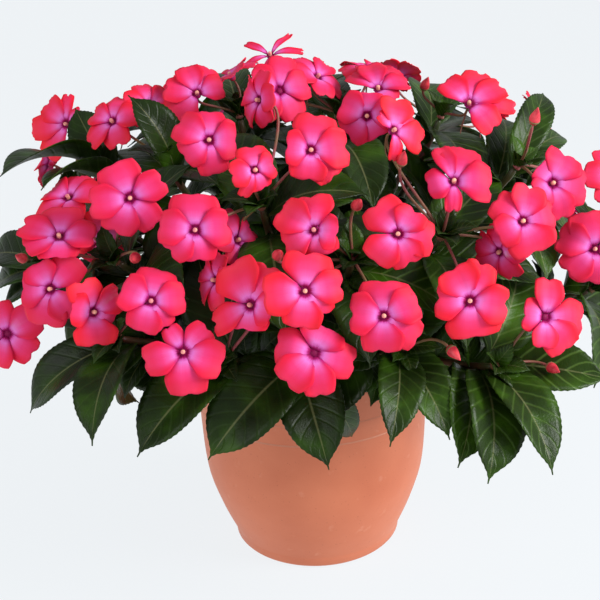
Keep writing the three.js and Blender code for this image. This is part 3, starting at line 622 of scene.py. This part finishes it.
m = new_material("impatiens_petal")
across, out, tint, side = marks(m)
spread = add(m, "Math", TIMES, {0: across, 1: 9})
streaks_at = add(m, "CombineXYZ", inputs={0: spread, 1: out, 2: tint})
streaks = add(m, "TexNoise", inputs={"Vector": streaks_at, "Scale": 2.2, "Detail": 4})
wander = add(m, "Math", TIMES_PLUS, {0: streaks, 1: 0.1, 2: -0.05})
ring = add(m, "Math", PLUS, {0: out, 1: wander})
squared = add(m, "Math", TIMES, {0: side, 1: side})
star = add(m, "Math", TIMES_PLUS, {0: squared, 1: -0.07, 2: ring})
middle = add(m, "ValToRGB", inputs={0: star}, ramp=PETAL_MIDDLE)
margin_and_shade = add(m, "ValToRGB", inputs={0: star}, ramp=PETAL_MARGIN_AND_SHADE)
# Towards its sides a petal takes the margin colours, which are partly painted shade.
to_margin_and_shade = add(m, "MapRange", SOFT, {0: side, 1: 0.25, 2: 0.85})
colour = add(m, "MixRGB", inputs={0: to_margin_and_shade, 1: middle, 2: margin_and_shade})
bright = add(m, "MapRange", inputs={0: tint, 3: 0.82, 4: 0.98})
warm = add(m, "MapRange", inputs={0: tint, 3: 0.496, 4: 0.504})
toned = add(m, "HueSaturation", inputs={"Color": colour, "Value": bright, "Hue": warm})
petal_skin = cover(m, toned, 0.6, 0.2, (streaks, 0.2, 0.3), {
    "Subsurface Weight": 0.15, "Subsurface Radius": (0.004, 0.0012, 0.002), "Subsurface Scale": 0.6,
})

# %% Leaf skin
# A thick waxy leaf: a little glossy between sunken side veins, which leave the thin paler midrib at a
# slant. On some leaves they are pale. Its tint, partly each leaf's own and partly painted light, makes
# leaves lighter and their veins paler towards the lit side of the plant.
VEINS = 9
VEIN_SLANT = 0.2

m = new_material("impatiens_leaf")
along, tint, side = marks(m)[1:]
slanted = add(m, "Math", TIMES_PLUS, {0: side, 1: -VEIN_SLANT, 2: along})
count = add(m, "Math", TIMES, {0: slanted, 1: VEINS})
from_vein = add(m, "Math", {"operation": "PINGPONG"}, {0: count, 1: 0.5})
vein = add(m, "MapRange", SOFT, {0: from_vein, 1: 0, 2: 0.16, 3: 1, 4: 0})
midrib = add(m, "MapRange", SOFT, {0: side, 1: 0.01, 2: 0.055, 3: 1, 4: 0})
blotch, cells = [add(m, "TexNoise", inputs=own_space(m, *size)) for size in ((30, 3), (1.5, 2))]
green = add(m, "ValToRGB", inputs={0: blotch}, ramp=[
    (0.3, "#121F03"), (0.5, "#1D3006"), (0.72, "#32510C"),
])
# Painted light: the tint makes leaves on the lit side of the plant brighter, with paler veins.
bright = add(m, "MapRange", inputs={0: tint, 3: 0.6, 4: 1.7})
toned = add(m, "HueSaturation", inputs={"Color": green, "Value": bright})
pale = add(m, "MapRange", inputs={0: tint, 1: 0.4, 2: 0.95, 3: 0.05, 4: 0.6})
striped = add(m, "Math", TIMES, {0: vein, 1: pale})
veined = add(m, "MixRGB", inputs={0: striped, 1: toned, 2: linear("#5A7834")})
rib = add(m, "Math", TIMES, {0: midrib, 1: 0.36})
ribbed = add(m, "MixRGB", inputs={0: rib, 1: veined, 2: linear("#8A8C5E")})
height = add(m, "Math", TIMES_PLUS, {0: vein, 1: -1, 2: cells})
leaf_skin = cover(m, ribbed, 0.36, 0.2, (height, 0.5, 0.5))

# %% Stem, stalk, column and bud skins
# Succulent stem: green flushed with red, smooth and a little glossy.
def make_succulent(name, pale, flushed, patch, rough):
    m = new_material(name)
    flush = add(m, "TexNoise", inputs=own_space(m, patch, 3))
    colour = add(m, "ValToRGB", inputs={0: flush}, ramp=[(0.35, pale), (0.65, flushed)])
    return cover(m, colour, rough, 0.45)


stem_skin = make_succulent("succulent_stem", "#3E4A26", "#5A2A24", 40, 0.4)
stalk_skin = make_succulent("flower_stalk", "#7C6A40", "#A04A50", 25, 0.45)
column_skin = make_succulent("pollen_column", "#E8788A", "#FFC49A", 3, 0.6)
bud_skin = make_succulent("bud_petal", "#B3122E", "#F04A56", 7, 0.4)
calyx_skin = make_succulent("green_sepal", "#66753A", "#8E6E50", 8, 0.5)

# %% Moulded plastic
# Polypropylene coloured like terracotta: evenly matt from the mould, with faint specks and a few scuffs.
# Two fine steps run round under the rim, each with a painted highlight along its edge: how high up,
# how deep and how tall.
LEDGES = [(157, 0.7, 1.0), (178, 0.4, 0.8)]
# How strongly the edge of each step is painted pale, as a painted highlight.
LEDGE_HIGHLIGHT = 0.58

m = new_material("moulded_terracotta_plastic")
cloud, speck, dust, grain = [
    add(m, "TexNoise", inputs=own_space(m, *size)) for size in ((60, 4), (2.2, 1), (14, 6), (1.2, 2))
]
base = add(m, "ValToRGB", inputs={0: cloud}, ramp=[(0.3, "#CA6E4C"), (0.7, "#D47956")])
spot = add(m, "MapRange", SOFT, {0: speck, 1: 0.7, 2: 0.78, 3: 0, 4: 0.35})
specked = add(m, "MixRGB", inputs={0: spot, 1: base, 2: linear("#96482E")})
scuff = add(m, "MapRange", SOFT, {0: dust, 1: 0.62, 2: 0.78, 3: 0, 4: 0.3})
colour = add(m, "MixRGB", inputs={0: scuff, 1: specked, 2: linear("#E3A48A")})
height = add(m, "SeparateXYZ", inputs={0: add(m, "TexCoord").outputs["Object"]}).outputs["Z"]
# Each step gets a painted highlight: a pale line mixed into the colour along its edge.
for at, deep, tall in LEDGES:
    above = add(m, "Math", {"operation": "SUBTRACT"}, {0: height, 1: at * MM})
    near = add(m, "Math", {"operation": "ABSOLUTE"}, {0: above})
    ledge_highlight = add(m, "MapRange", SOFT, {0: near, 1: 0, 2: tall * MM, 3: deep * LEDGE_HIGHLIGHT, 4: 0})
    colour = add(m, "MixRGB", inputs={0: ledge_highlight, 1: colour, 2: linear("#EEB49A")})
rough = add(m, "MapRange", inputs={0: dust, 3: 0.42, 4: 0.6})
plastic = cover(m, colour, rough, 0.4, (grain, 0.12, 0.15))

# %% Peat
# Peat-based potting mix: dark, quite matt and crumbly, with paler fibres.
m = new_material("peat_potting_mix")
crumb = add(m, "TexNoise", inputs=own_space(m, 4, 6))
colour = add(m, "ValToRGB", inputs={0: crumb}, ramp=[
    (0.3, "#1A120C"), (0.55, "#38281B"), (0.75, "#6A5138"),
])
peat = cover(m, colour, 0.95, 0.2, (crumb, 0.7, 1))

# %% [markdown]
# ## Sheets and tubes
#
# Petals and leaves are thin sheets, folded and ruffled as they grew. Such a sheet starts from a flat
# grid, whose corners are moved by a formula, and is then given its thickness. A stalk is the same grid
# rolled up: its two long edges are merged, and its radius shrinks to nothing at both ends.

# %% Sheets and tubes
MERGE = 0.01


def lay(body, mark, columns, rows, place):
    """A grid whose corners are placed by their share across (-1 to 1) and along (0 to 1)."""
    corners = bmesh.ops.create_grid(body, x_segments=columns, y_segments=rows, size=1)["verts"]
    for corner in corners:
        corner.co, corner[mark] = place(corner.co.x, (corner.co.y + 1) / 2)
    return corners


def tube(body, mark, curve, radius, columns, rows, slot):
    """A closed tube along a curve, whose radius is a function of the share along it."""
    spans = [bezier(curve, i / rows) for i in range(rows + 1)]
    ways = [heading(curve, i / rows) for i in range(rows + 1)]
    sides = [ways[0].orthogonal().normalized()]
    for way in ways[1:]:
        sides.append((sides[-1] - way * sides[-1].dot(way)).normalized())

    def place(across, along):
        i = round(along * rows)
        turn = across * math.pi
        spoke = sides[i] * math.cos(turn) + ways[i].cross(sides[i]) * math.sin(turn)
        return spans[i] + spoke * radius(along), Vector((across, along, 0))

    corners = lay(body, mark, columns, rows, place)
    for face in {face for corner in corners for face in corner.link_faces}:
        face.material_index = slot
    bmesh.ops.remove_doubles(body, verts=corners, dist=MERGE)


def straight(a, b):
    return a, a.lerp(b, 1 / 3), a.lerp(b, 2 / 3), b


def rounded(full, at_end, ends):
    """A radius that runs from full to at_end and closes over a share of the tube at both ends."""
    def radius(along):
        near = min(along, 1 - along) / ends
        return between((full, at_end), along) * (math.sqrt(1 - (1 - near) ** 2) if near < 1 else 1)
    return radius


def smooth(a, b, x):
    """0 up to a, 1 from b on, and a gentle rise between."""
    t = min(1, max(0, (x - a) / (b - a)))
    return t * t * (3 - 2 * t)


def bell(x, wide):
    """1 at x = 0, which falls away on both sides."""
    return math.exp(-((x / wide) ** 2))


def finish_piece(body, name, skins, node):
    """One object from a bmesh in millimetres, pressed back where it would leave the whole plant's box."""
    bmesh.ops.recalc_face_normals(body, faces=body.faces)
    bmesh.ops.scale(body, vec=(MM, MM, MM), verts=body.verts)
    low, high = cad_bounds
    for corner in body.verts:
        corner.co = [min(max(v, a), b) for v, a, b in zip(corner.co, low, high)]
    for face in body.faces:
        face.smooth = True
    piece = add_object(name, mesh_of(body, name))
    for skin in skins:
        piece.data.materials.append(skin)
    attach(piece, "root")
    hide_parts(node)
    return piece


# %% [markdown]
# ## Flowers
#
# The flower is nearly flat. Five broad petals, each notched at its end, overlap like roof tiles: the
# top petal lies behind both its neighbours, and the others lap one over the next. Where the picture
# shows a flower plainly, each petal runs from the eye to its own tip; elsewhere petals differ by rule.
# Behind the flower a thin stalk bends down, and beside it hangs a curved spur. In the middle stands the
# pale column.
#
# A petal starts as a square grid that is pressed into a rounded blade, narrow at the eye. The petals of
# a spray are laid first and thickened together, and then the round parts join.

# %% Petals
# Which edge of each petal lifts over its neighbour: right and left, from the top petal on.
PETAL_EDGES = [(-1, -1), (1, 1), (-1, 1), (-1, -1), (1, 1)]
PETAL_COLUMNS, PETAL_ROWS, PETAL_SHEET = 12, 12, 0.5
# Where a petal starts, how its grid is rounded and drawn out, and its neck.
EYE_RIM, ROUNDING, DRAWN_OUT, NECK = 2.2, 0.64, 0.93, 0.42
# How petals differ by rule: turn in degrees, length and width; then the least and the greatest length of
# one that is shown, and how far out a petal is cupped.
PETAL_TURN, PETAL_LENGTHS, PETAL_WIDTHS = 9, (0.9, 1.06), (0.84, 1.02)
SHORTEST_PETAL, LONGEST_PETAL, CUP_END = 0.62, 1.22, 1.15
# As shares: how deep, wide and far aside the notch is, how much longer one side may be, and how wide the
# channel along the middle is.
NOTCHES, NOTCH_WIDE, NOTCH_ASIDE, LOBE, CHANNEL_WIDE = (0.03, 0.12), 0.25, 0.4, 0.07, 0.16
# In mm: the throat, the channel, ripples, crinkles of the rim, and how an end bends.
PETAL_THROAT, CHANNEL, RIPPLE, CRINKLE, BENDS = 2.8, 0.5, 1.1, 0.5, (-3.5, 1.8)
# How close together ripples and crinkles are, and how far each petal's are shifted.
RIPPLES, CRINKLES, PHASES = 5, 17, 6


def on_face(matrix, x, y):
    """The point of a flower's own plane, in its own millimetres, that is seen at x, y."""
    inverse = matrix.inverted()
    start, line = inverse @ EYE, inverse.to_3x3() @ sight_line(x, y)
    return start - line * start.z / line.z


def petal_plan(at, face, across, spin, seen, number):
    """The matrix of the flower's eye, and the turn, length and width of each petal."""
    radius = across / 2
    matrix = facing(at, face, spin)
    plan = []
    if seen not in PETAL_TIPS:
        for k in range(5):
            turn, long, wide = [draw(number, 10 * k + i) for i in range(3)]
            size = radius * between(PETAL_LENGTHS, long), radius * between(PETAL_WIDTHS, wide)
            plan.append((k * 72 + PETAL_TURN * (turn - 0.5), *size))
        return matrix, plan
    eye, *tips = PETAL_TIPS[seen]
    matrix = matrix @ Matrix.Translation(on_face(matrix, *eye))
    for x, y, wide in tips:
        tip = on_face(matrix, x, y)
        long = min(max(math.hypot(tip.x, tip.y), radius * SHORTEST_PETAL), radius * LONGEST_PETAL)
        plan.append((math.degrees(math.atan2(-tip.x, tip.y)), long, wide))
    return matrix, sorted(plan, key=lambda petal: (petal[0] + 36) % 360)


def petal_place(matrix, petal, k, radius, number):
    """Where a point of a petal lies on the flower, by its share across and along the petal."""
    turn, long, wide = petal
    right, left = PETAL_EDGES[k]
    turned = matrix @ Matrix.Rotation(math.radians(turn), 4, "Z")
    notched, lobed, ripples, crinkles, bent, aside = [draw(number, 10 * k + i) for i in range(3, 9)]
    tint = draw(number, 3)

    def place(u, v):
        t = 2 * v - 1
        along = ((t * math.sqrt(1 - ROUNDING * u * u / 2) + 1) / 2) ** DRAWN_OUT
        half = wide / 2 * between((NECK, 1), smooth(0, 0.55, along))
        x = u * math.sqrt(1 - ROUNDING * t * t / 2) * half
        dent = bell(u - NOTCH_ASIDE * (aside - 0.5), NOTCH_WIDE)
        notch = between(NOTCHES, notched) * dent * smooth(0.75, 1, v)
        lobe = 1 + LOBE * (lobed - 0.5) * u - notch
        y = EYE_RIM + (long * lobe - EYE_RIM) * along
        lift = FLOWER_LIFT * (right if x > 0 else left) * (abs(x) / radius / PETAL_WIDE) ** 1.3
        out = min(y / radius, CUP_END)
        cup = FLOWER_CUP * (math.sin(math.pi * min(out, 1)) - FLOWER_DROOP * out)
        throat = -PETAL_THROAT * (1 - along) ** 7
        channel = -CHANNEL * bell(u, CHANNEL_WIDE) * smooth(0.1, 0.4, v) * (1 - smooth(0.6, 0.95, v))
        ripple = RIPPLE * math.sin(RIPPLES * u + PHASES * ripples) * v**2 * abs(u)
        crinkle = CRINKLE * math.sin(CRINKLES * u + PHASES * crinkles) * smooth(0.65, 1, v)
        bend = between(BENDS, bent) * smooth(0.45, 1, v)
        z = lift + cup + throat + channel + ripple + crinkle + bend
        return turned @ Vector((x, y, z)), Vector((u, math.hypot(x, y) / radius, tint))

    return place


# %% Round parts of a flower
# The materials of a spray, by their slot.
PETAL, COLUMN, STALK, BUD, CALYX = range(5)
# Radii at the start and the end, and the share over which each end closes.
THROAT_TUBE = rounded(4.8, 1.5, 0.1)
STALK_TUBE = rounded(1.2, 1.3, 0.02)
SPUR_TUBE = rounded(1, 0.5, 0.04)
COLUMN_TUBE = rounded(1.5, 1.95, 0.3)
SEAT_TUBE = rounded(4, 2.4, 0.15)
# The spur's line, by how far behind the flower, below it and aside its points lie.
SPUR = [(5, 0, 0), (15, 0, 0), (23, 12, 12), (13, 20, 12)]


def stalk_curve(at, face, stem, behind):
    back, seat = at - face * behind, stem.tip + stem.axis * SPROUT
    lead = min(STALK_LEAD, (back - seat).length * STALK_MOST_LEAD)
    leave = back - face * lead
    start = ((leave - seat).normalized() + stem.axis * STALK_RISE).normalized() * lead + seat
    return back, leave, start, seat


def add_flower_back(body, mark, stem, at, face, number):
    """Throat, stalk and spur."""
    tube(body, mark, straight(at - face * 1.2, at - face * FLOWER_BACK), THROAT_TUBE, 8, 6, PETAL)
    tube(body, mark, stalk_curve(at, face, stem, FLOWER_BACK - 1), STALK_TUBE, 6, 14, STALK)
    aside = face.cross(UP).normalized() * (draw(number, 5) - 0.5)
    spur = [at - face * back - UP * below + aside * out for back, below, out in SPUR]
    tube(body, mark, spur, SPUR_TUBE, 5, 10, STALK)


def bud_radius(along):
    return BUD_RADIUS * 1.05 * math.sin(math.pi * along**0.7) ** 0.85 * (1 - 0.35 * along)


def calyx_radius(along):
    return BUD_RADIUS * 0.97 * math.sin(math.pi * min(1, along * 0.55 + 0.001)) ** 0.8 * (along < 1)


def add_bud(body, mark, stem, place, face):
    """A pointed bud on its stalk, with a green calyx."""
    base = place - face * BUD_BACK
    tube(body, mark, straight(base, place + face * BUD_TIP), bud_radius, 10, 12, BUD)
    tube(body, mark, straight(base, place - face), calyx_radius, 10, 6, CALYX)
    tube(body, mark, stalk_curve(place, face, stem, BUD_NECK), STALK_TUBE, 6, 12, STALK)


# %% Sprays
flower_skins = [petal_skin, column_skin, stalk_skin, bud_skin, calyx_skin]
for stem in stems:
    if not (stem.flowers or stem.buds):
        continue
    body = bmesh.new()
    mark = body.verts.layers.float_vector.new("mark")
    eyes = []
    for at, face, across, spin, seen, number in stem.flowers:
        matrix, petals = petal_plan(at, face, across, spin, seen, number)
        eyes.append((matrix.translation, face, number, seen in BARE_EYES))
        for k, petal in enumerate(petals):
            place = petal_place(matrix, petal, k, across / 2, number)
            lay(body, mark, PETAL_COLUMNS, PETAL_ROWS, place)
    bmesh.ops.solidify(body, geom=body.faces, thickness=PETAL_SHEET)
    for eye, face, number, bare in eyes:
        add_flower_back(body, mark, stem, eye, face, number)
        if not bare:
            tube(body, mark, straight(eye - face * 3, eye + face * 3.2), COLUMN_TUBE, 8, 8, COLUMN)
    for place, face in stem.buds:
        add_bud(body, mark, stem, place, face)
    seat = straight(stem.tip - stem.axis, stem.tip + stem.axis * 7)
    tube(body, mark, seat, SEAT_TUBE, 8, 6, STALK)
    finish_piece(body, f"flowers_{stem.label}", flower_skins, f"flower_spray_{stem.label}")
print("sprays:", len(sprays))

# %% [markdown]
# ## Leaves and stems
#
# A leaf starts as a short stalk, widens to a long oval blade and ends in a drawn-out tip. Its blade is
# folded along the midrib, puckered up between the side veins, waved and finely toothed. The stems are
# round and fleshy, and swell where leaves join. Young leaves, too small for solids of their own, crowd
# round each stem's tip and sit in the joints below it.

# %% Leaf blades
LEAF_COLUMNS, LEAF_STEPS, LEAF_SHEET = 8, 48, 0.6
YOUNG_COLUMNS, YOUNG_STEPS = 4, 16
# Half the width of a leaf's stalk, how much broader a fine blade is than its solid, and half its tip.
PETIOLE, BROADER, TIP_HALF = 1.3, 1.12, 0.35
# In mm: teeth, the pucker between side veins on a blade of middling half width, and the sunken midrib.
TOOTH, PUCKER, MIDDLING_HALF, RIB = 0.7, 0.9, 22, 0.8
# The midrib's width, as a share of the blade's.
RIB_WIDE = 0.1
# Painted light: leaves are painted paler, with stronger pale veins, towards the lit side of the plant.
DARK_SIDE, LIGHT_SIDE = -120, 260


def blade_half(s, width):
    blade = width / 2 * BROADER * max(0, math.sin(math.pi * s**EARLY)) ** (0.8 + 1.6 * s**10)
    return between((PETIOLE, blade), smooth(0.04, 0.2, s)) + TIP_HALF * smooth(0.9, 1, s)


def leaf_place(curve, flat, width, swing, steps):
    """Where a point of a leaf lies, by its share across and along."""
    rows = [i / steps for i in range(steps + 1)]
    middles = [bezier(curve, s) for s in rows]
    axes = [leaf_axes(curve, flat, s) for s in rows]
    # How far the tip lies towards the lit side; half of each leaf's tint is this painted light.
    lit = smooth(DARK_SIDE, LIGHT_SIDE, middles[-1].x)
    tint = (draw(swing + 3, round(middles[-1].x)) + lit) / 2

    def place(u, s):
        i = round(s * steps)
        side, up = axes[i]
        half = blade_half(s, width)
        tooth = TOOTH * (i % 2) * smooth(0.2, 0.35, s) * (1 - smooth(0.93, 1, s)) * abs(u) ** 6
        fold = half * LEAF_FOLD * abs(u) ** 1.3
        wave = leaf_wave(s, swing, 1 if u > 0 else -1) * abs(u) ** 1.5 * smooth(0.1, 0.3, s)
        between_veins = abs(math.sin(math.pi * (s - VEIN_SLANT * abs(u)) * VEINS)) ** 0.7
        pucker = PUCKER * between_veins * smooth(0.1, 0.3, abs(u)) * (1 - abs(u) ** 4)
        pucker *= smooth(0.15, 0.3, s) * (1 - smooth(0.85, 1, s))
        rise = fold + (wave + pucker) * half / MIDDLING_HALF - RIB * bell(u, RIB_WIDE) * (1 - s)
        return middles[i] + side * u * (half + tooth) + up * rise, Vector((u, s, tint))

    return place


# %% Young leaves
# How many crowd round a tip, how far below it, how long and how upright; and the same for the joints
# lower down, which have two each.
TIP_LEAVES, TIP_BELOW, TIP_LENGTHS, TIP_RISE = 5, 2, (24, 40), 1.1
JOINTS, JOINT_LENGTHS, JOINT_RISE = (30, 52, 74, 96, 118, 140, 162, 184), (34, 58), 0.35
YOUNG_WIDTH, YOUNG_ARCH, YOUNG_RISES = 0.44, 0.18, (0.7, 1.3)


def young_leaves(stem):
    """Each young leaf's line, the way that it faces, and its width."""
    roots = [(TIP_BELOW, TIP_LENGTHS, TIP_RISE)] * TIP_LEAVES
    roots += [(below, JOINT_LENGTHS, JOINT_RISE) for below in JOINTS] * 2
    side = stem.axis.orthogonal().normalized()
    made = []
    for k, (below, lengths, rise) in enumerate(roots):
        root = bezier(stem.curve, stem.below_tip(below))
        turn = math.radians(k * GOLDEN + 360 * draw(stem.number, 50))
        way = Matrix.Rotation(turn, 3, stem.axis) @ side
        way = (way + stem.axis * rise * between(YOUNG_RISES, draw(stem.number, k + 60))).normalized()
        length = between(lengths, draw(k, stem.number + 70))
        face = (outwards(root) + UP * LEAF_LOOK_UP).normalized()
        curve, flat = leaf_line(root, root + way * length, face, YOUNG_ARCH)
        made.append((curve, flat, length * YOUNG_WIDTH, k))
    return made


# %% Stems with their leaves
# A stem's radii at its foot and its tip; how much and how far it swells at joints, up to which share.
STEM_RADII, SWELL, SWELL_LONG, SWELL_UNTIL = (3.9, 2.7), 0.55, 3.5, 0.99


def stem_radius(stem):
    below, apart, levels = OUTER_WHORL
    joints = [below + apart * i for i in range(levels)] + list(JOINTS)[1:]
    length = stem.lengths[-1]
    plain = rounded(*STEM_RADII, 0.02)

    def radius(along):
        above = length * (1 - along)
        swell = sum(SWELL * bell(above - joint, SWELL_LONG) for joint in joints)
        return plain(along) + swell * (along < SWELL_UNTIL)
    return radius


young_count = 0
for stem in stems:
    body = bmesh.new()
    mark = body.verts.layers.float_vector.new("mark")
    for curve, flat, width, swing in stem.leaves:
        place = leaf_place(curve, flat, width, swing, LEAF_STEPS)
        lay(body, mark, LEAF_COLUMNS, LEAF_STEPS, place)
    for curve, flat, width, swing in young_leaves(stem):
        lay(body, mark, YOUNG_COLUMNS, YOUNG_STEPS, leaf_place(curve, flat, width, swing, YOUNG_STEPS))
        young_count += 1
    bmesh.ops.solidify(body, geom=body.faces, thickness=LEAF_SHEET)
    tube(body, mark, stem.curve, stem_radius(stem), 10, 64, 1)
    name = f"stem_and_leaves_{stem.label}"
    finish_piece(body, name, [leaf_skin, stem_skin], f"leafy_stem_{stem.label}")
print("leafy stems:", len(stems), "young leaves:", young_count)

# %% [markdown]
# ## Pot and soil
#
# The pot is moulded in one piece, round, with a drawn-in foot, a bellied side and a plain lip. A round
# thing is turned: its section is drawn once and spun about the upright axis.

# %% Pot
# Radius and height where the wall changes slope. The first and the last lie past its ends, straight on.
WALL = [(75, -21), (88.5, 12), (102, 45), (113.5, 86), (118, 160), (123, 206), (128, 252)]
POT_WALL, POT_FLOOR, POT_STEPS = 4, 8, 96


def wall_radius(z):
    """The outside of the wall between the foot and the rim, as one smooth line through its sizes."""
    i = max(i for i in range(1, len(WALL) - 2) if WALL[i][1] <= z or i == 1)
    (ra, za), (r0, z0), (r1, z1), (rb, zb) = WALL[i - 1 : i + 3]
    tall = z1 - z0
    leave, reach = (r1 - ra) / (z1 - za) * tall / 3, (rb - r0) / (zb - z0) * tall / 3
    ledge = sum(deep * smooth(at - edge / 2, at + edge / 2, z) for at, deep, edge in LEDGES)
    return bezier((r0, r0 + leave, r1 - reach, r1), (z - z0) / tall) - ledge


def turn_profile(profile):
    """A body from a chain of radius and height pairs spun about the upright axis."""
    body = bmesh.new()
    chain = [body.verts.new((r, 0, z)) for r, z in profile]
    edges = [body.edges.new(pair) for pair in zip(chain, chain[1:])]
    bmesh.ops.spin(
        body, geom=chain + edges, cent=(0, 0, 0), axis=UP, angle=math.tau, steps=POT_STEPS, use_merge=True
    )
    bmesh.ops.remove_doubles(body, verts=body.verts, dist=MERGE)
    return body


# Rows of the wall, close together at the fine steps.
heights = [
    12, 13.5, 16, 20, 27, 34, 40, 45, 52, 60, 70, 80, 90, 100, 112, 124, 136, 148, 154, 155.5, 156.2,
    156.5, 157, 157.5, 157.8, 161, 168, 175, 177.2, 177.6, 178, 178.4, 178.8, 182, 188, 194, 200, 206,
]
base = [(0, 0), (81.5, 0), (84, 0.6), (86.1, 2.2), (87.5, 4)]
outside = [(wall_radius(z), z) for z in heights]
lip = [(123.1, 209), (122.8, 212), (121.6, 213.7), (120, 214), (118.4, 213.4), (118, 212)]
inside = [(wall_radius(z) - POT_WALL, z) for z in (206, 190, 170, 150, 120, 90, 60, 40, 20)]
section = base + outside + lip + inside + [(80, POT_FLOOR), (0, POT_FLOOR)]
pot = finish_piece(turn_profile(section), "garden_pot", [plastic], "pot")
print("pot section:", len(section), "points")

# %% Drain holes
# They are cut by a Boolean through the floor, and the cut mesh is kept in place of the first one.
DRAIN_COUNT, DRAIN_RADIUS, DRAIN_RING, DRAIN_SIDES = 3, 6, 58, 24
drills = bmesh.new()
for k in range(DRAIN_COUNT):
    turn = Matrix.Rotation((k + 0.5) * math.tau / DRAIN_COUNT, 4, "Z")
    bmesh.ops.create_cone(
        drills, cap_ends=True, segments=DRAIN_SIDES, radius1=DRAIN_RADIUS * MM,
        radius2=DRAIN_RADIUS * MM, depth=4 * POT_FLOOR * MM,
        matrix=turn @ Matrix.Translation((DRAIN_RING * MM, 0, 0)),
    )
drill = add_object("drills", mesh_of(drills, "drills"))
cut = pot.modifiers.new("drain_holes", "BOOLEAN")
cut.object, cut.operation, cut.solver = drill, "DIFFERENCE", "EXACT"
ready = pot.evaluated_get(bpy.context.evaluated_depsgraph_get())
drained = bpy.data.meshes.new_from_object(ready)
pot.modifiers.remove(cut)
pot.data = drained
bpy.data.objects.remove(drill)
print("pot with drain holes:", len(drained.polygons), "faces")

# %% Soil
# How far crumbs rise, how long they are, and the room left between the soil and the pot.
CRUMB, CRUMB_LONG, CRUMB_SHORT, ROOM = 2.2, 6, 2.5, 0.5
SOIL_FOOT, SOIL_EDGE, SOIL_RINGS = 77, 115, 14
side = [(wall_radius(z) - POT_WALL - ROOM, z) for z in (20, 40, 60, 90, 120, 150, 170, 186)]
shares = [k / SOIL_RINGS for k in range(SOIL_RINGS + 1)]
top = [(SOIL_EDGE * (1 - t), SOIL_TOP + SOIL_CROWN * math.sin(math.pi / 2 * t)) for t in shares]
body = turn_profile([(0, POT_FLOOR + ROOM), (SOIL_FOOT, POT_FLOOR + ROOM)] + side + top)
for corner in body.verts:
    if corner.co.z > SOIL_TOP - 1:
        coarse, fine = noise.noise(corner.co / CRUMB_LONG), noise.noise(corner.co / CRUMB_SHORT)
        corner.co.z += CRUMB * coarse + CRUMB / 2 * fine
finish_piece(body, "crumbly_soil", [peat], "potting_soil")

# %% [markdown]
# ## Floor and light
#
# The plant stands on white, under soft light from the right. The floor is a sheet of white acrylic that
# glows a little, as a lit table does, so shadows on it stay faint. A bright room gives light from all
# round, and two large lamps give it a direction.

# %% Floor, room and lamps
FLOOR_GLOW, FLOOR_HALF, ROOM_LIGHT = 0.875, 12, 0.5
acrylic = cover(new_material("lit_white_acrylic"), linear("#505254"), 0.9, 0.1, more={
    "Emission Color": linear("#F6FAFD"), "Emission Strength": FLOOR_GLOW,
})
floor_body = bmesh.new()
bmesh.ops.create_grid(floor_body, x_segments=1, y_segments=1, size=FLOOR_HALF)
floor = add_object("floor", mesh_of(floor_body, "floor"))
floor.data.materials.append(acrylic)
floor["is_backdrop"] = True

room = bpy.data.worlds.new("bright_room")
room.use_nodes = True
light = room.node_tree.nodes["Background"].inputs
light["Color"].default_value, light["Strength"].default_value = linear("#F4F7FA"), ROOM_LIGHT
bpy.context.scene.world = room

# Each lamp: its name, its place and side in metres, and its power in watts.
LAMPS = [("key", (1.8, -0.8, 1.3), 1.0, 54), ("fill", (-1.5, -1.3, 1.0), 1.4, 12)]
for name, place, size, power in LAMPS:
    lamp = bpy.data.lights.new(name, "AREA")
    lamp.size, lamp.energy = size, power
    turned = Vector(place).to_track_quat("Z", "Y").to_matrix().to_4x4()
    add_object(name, lamp).matrix_world = Matrix.Translation(place) @ turned
bpy.context.scene.view_settings.view_transform = "Standard"

# %% Size
made_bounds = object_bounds()
for kind, (low, high) in (("solids", cad_bounds), ("finished", made_bounds)):
    print(kind, [round((b - a) / MM, 1) for a, b in zip(low, high)], "mm")
polygons = [p for o in bpy.data.objects if o.type == "MESH" for p in o.data.polygons]
print("triangles:", sum(len(p.vertices) - 2 for p in polygons))
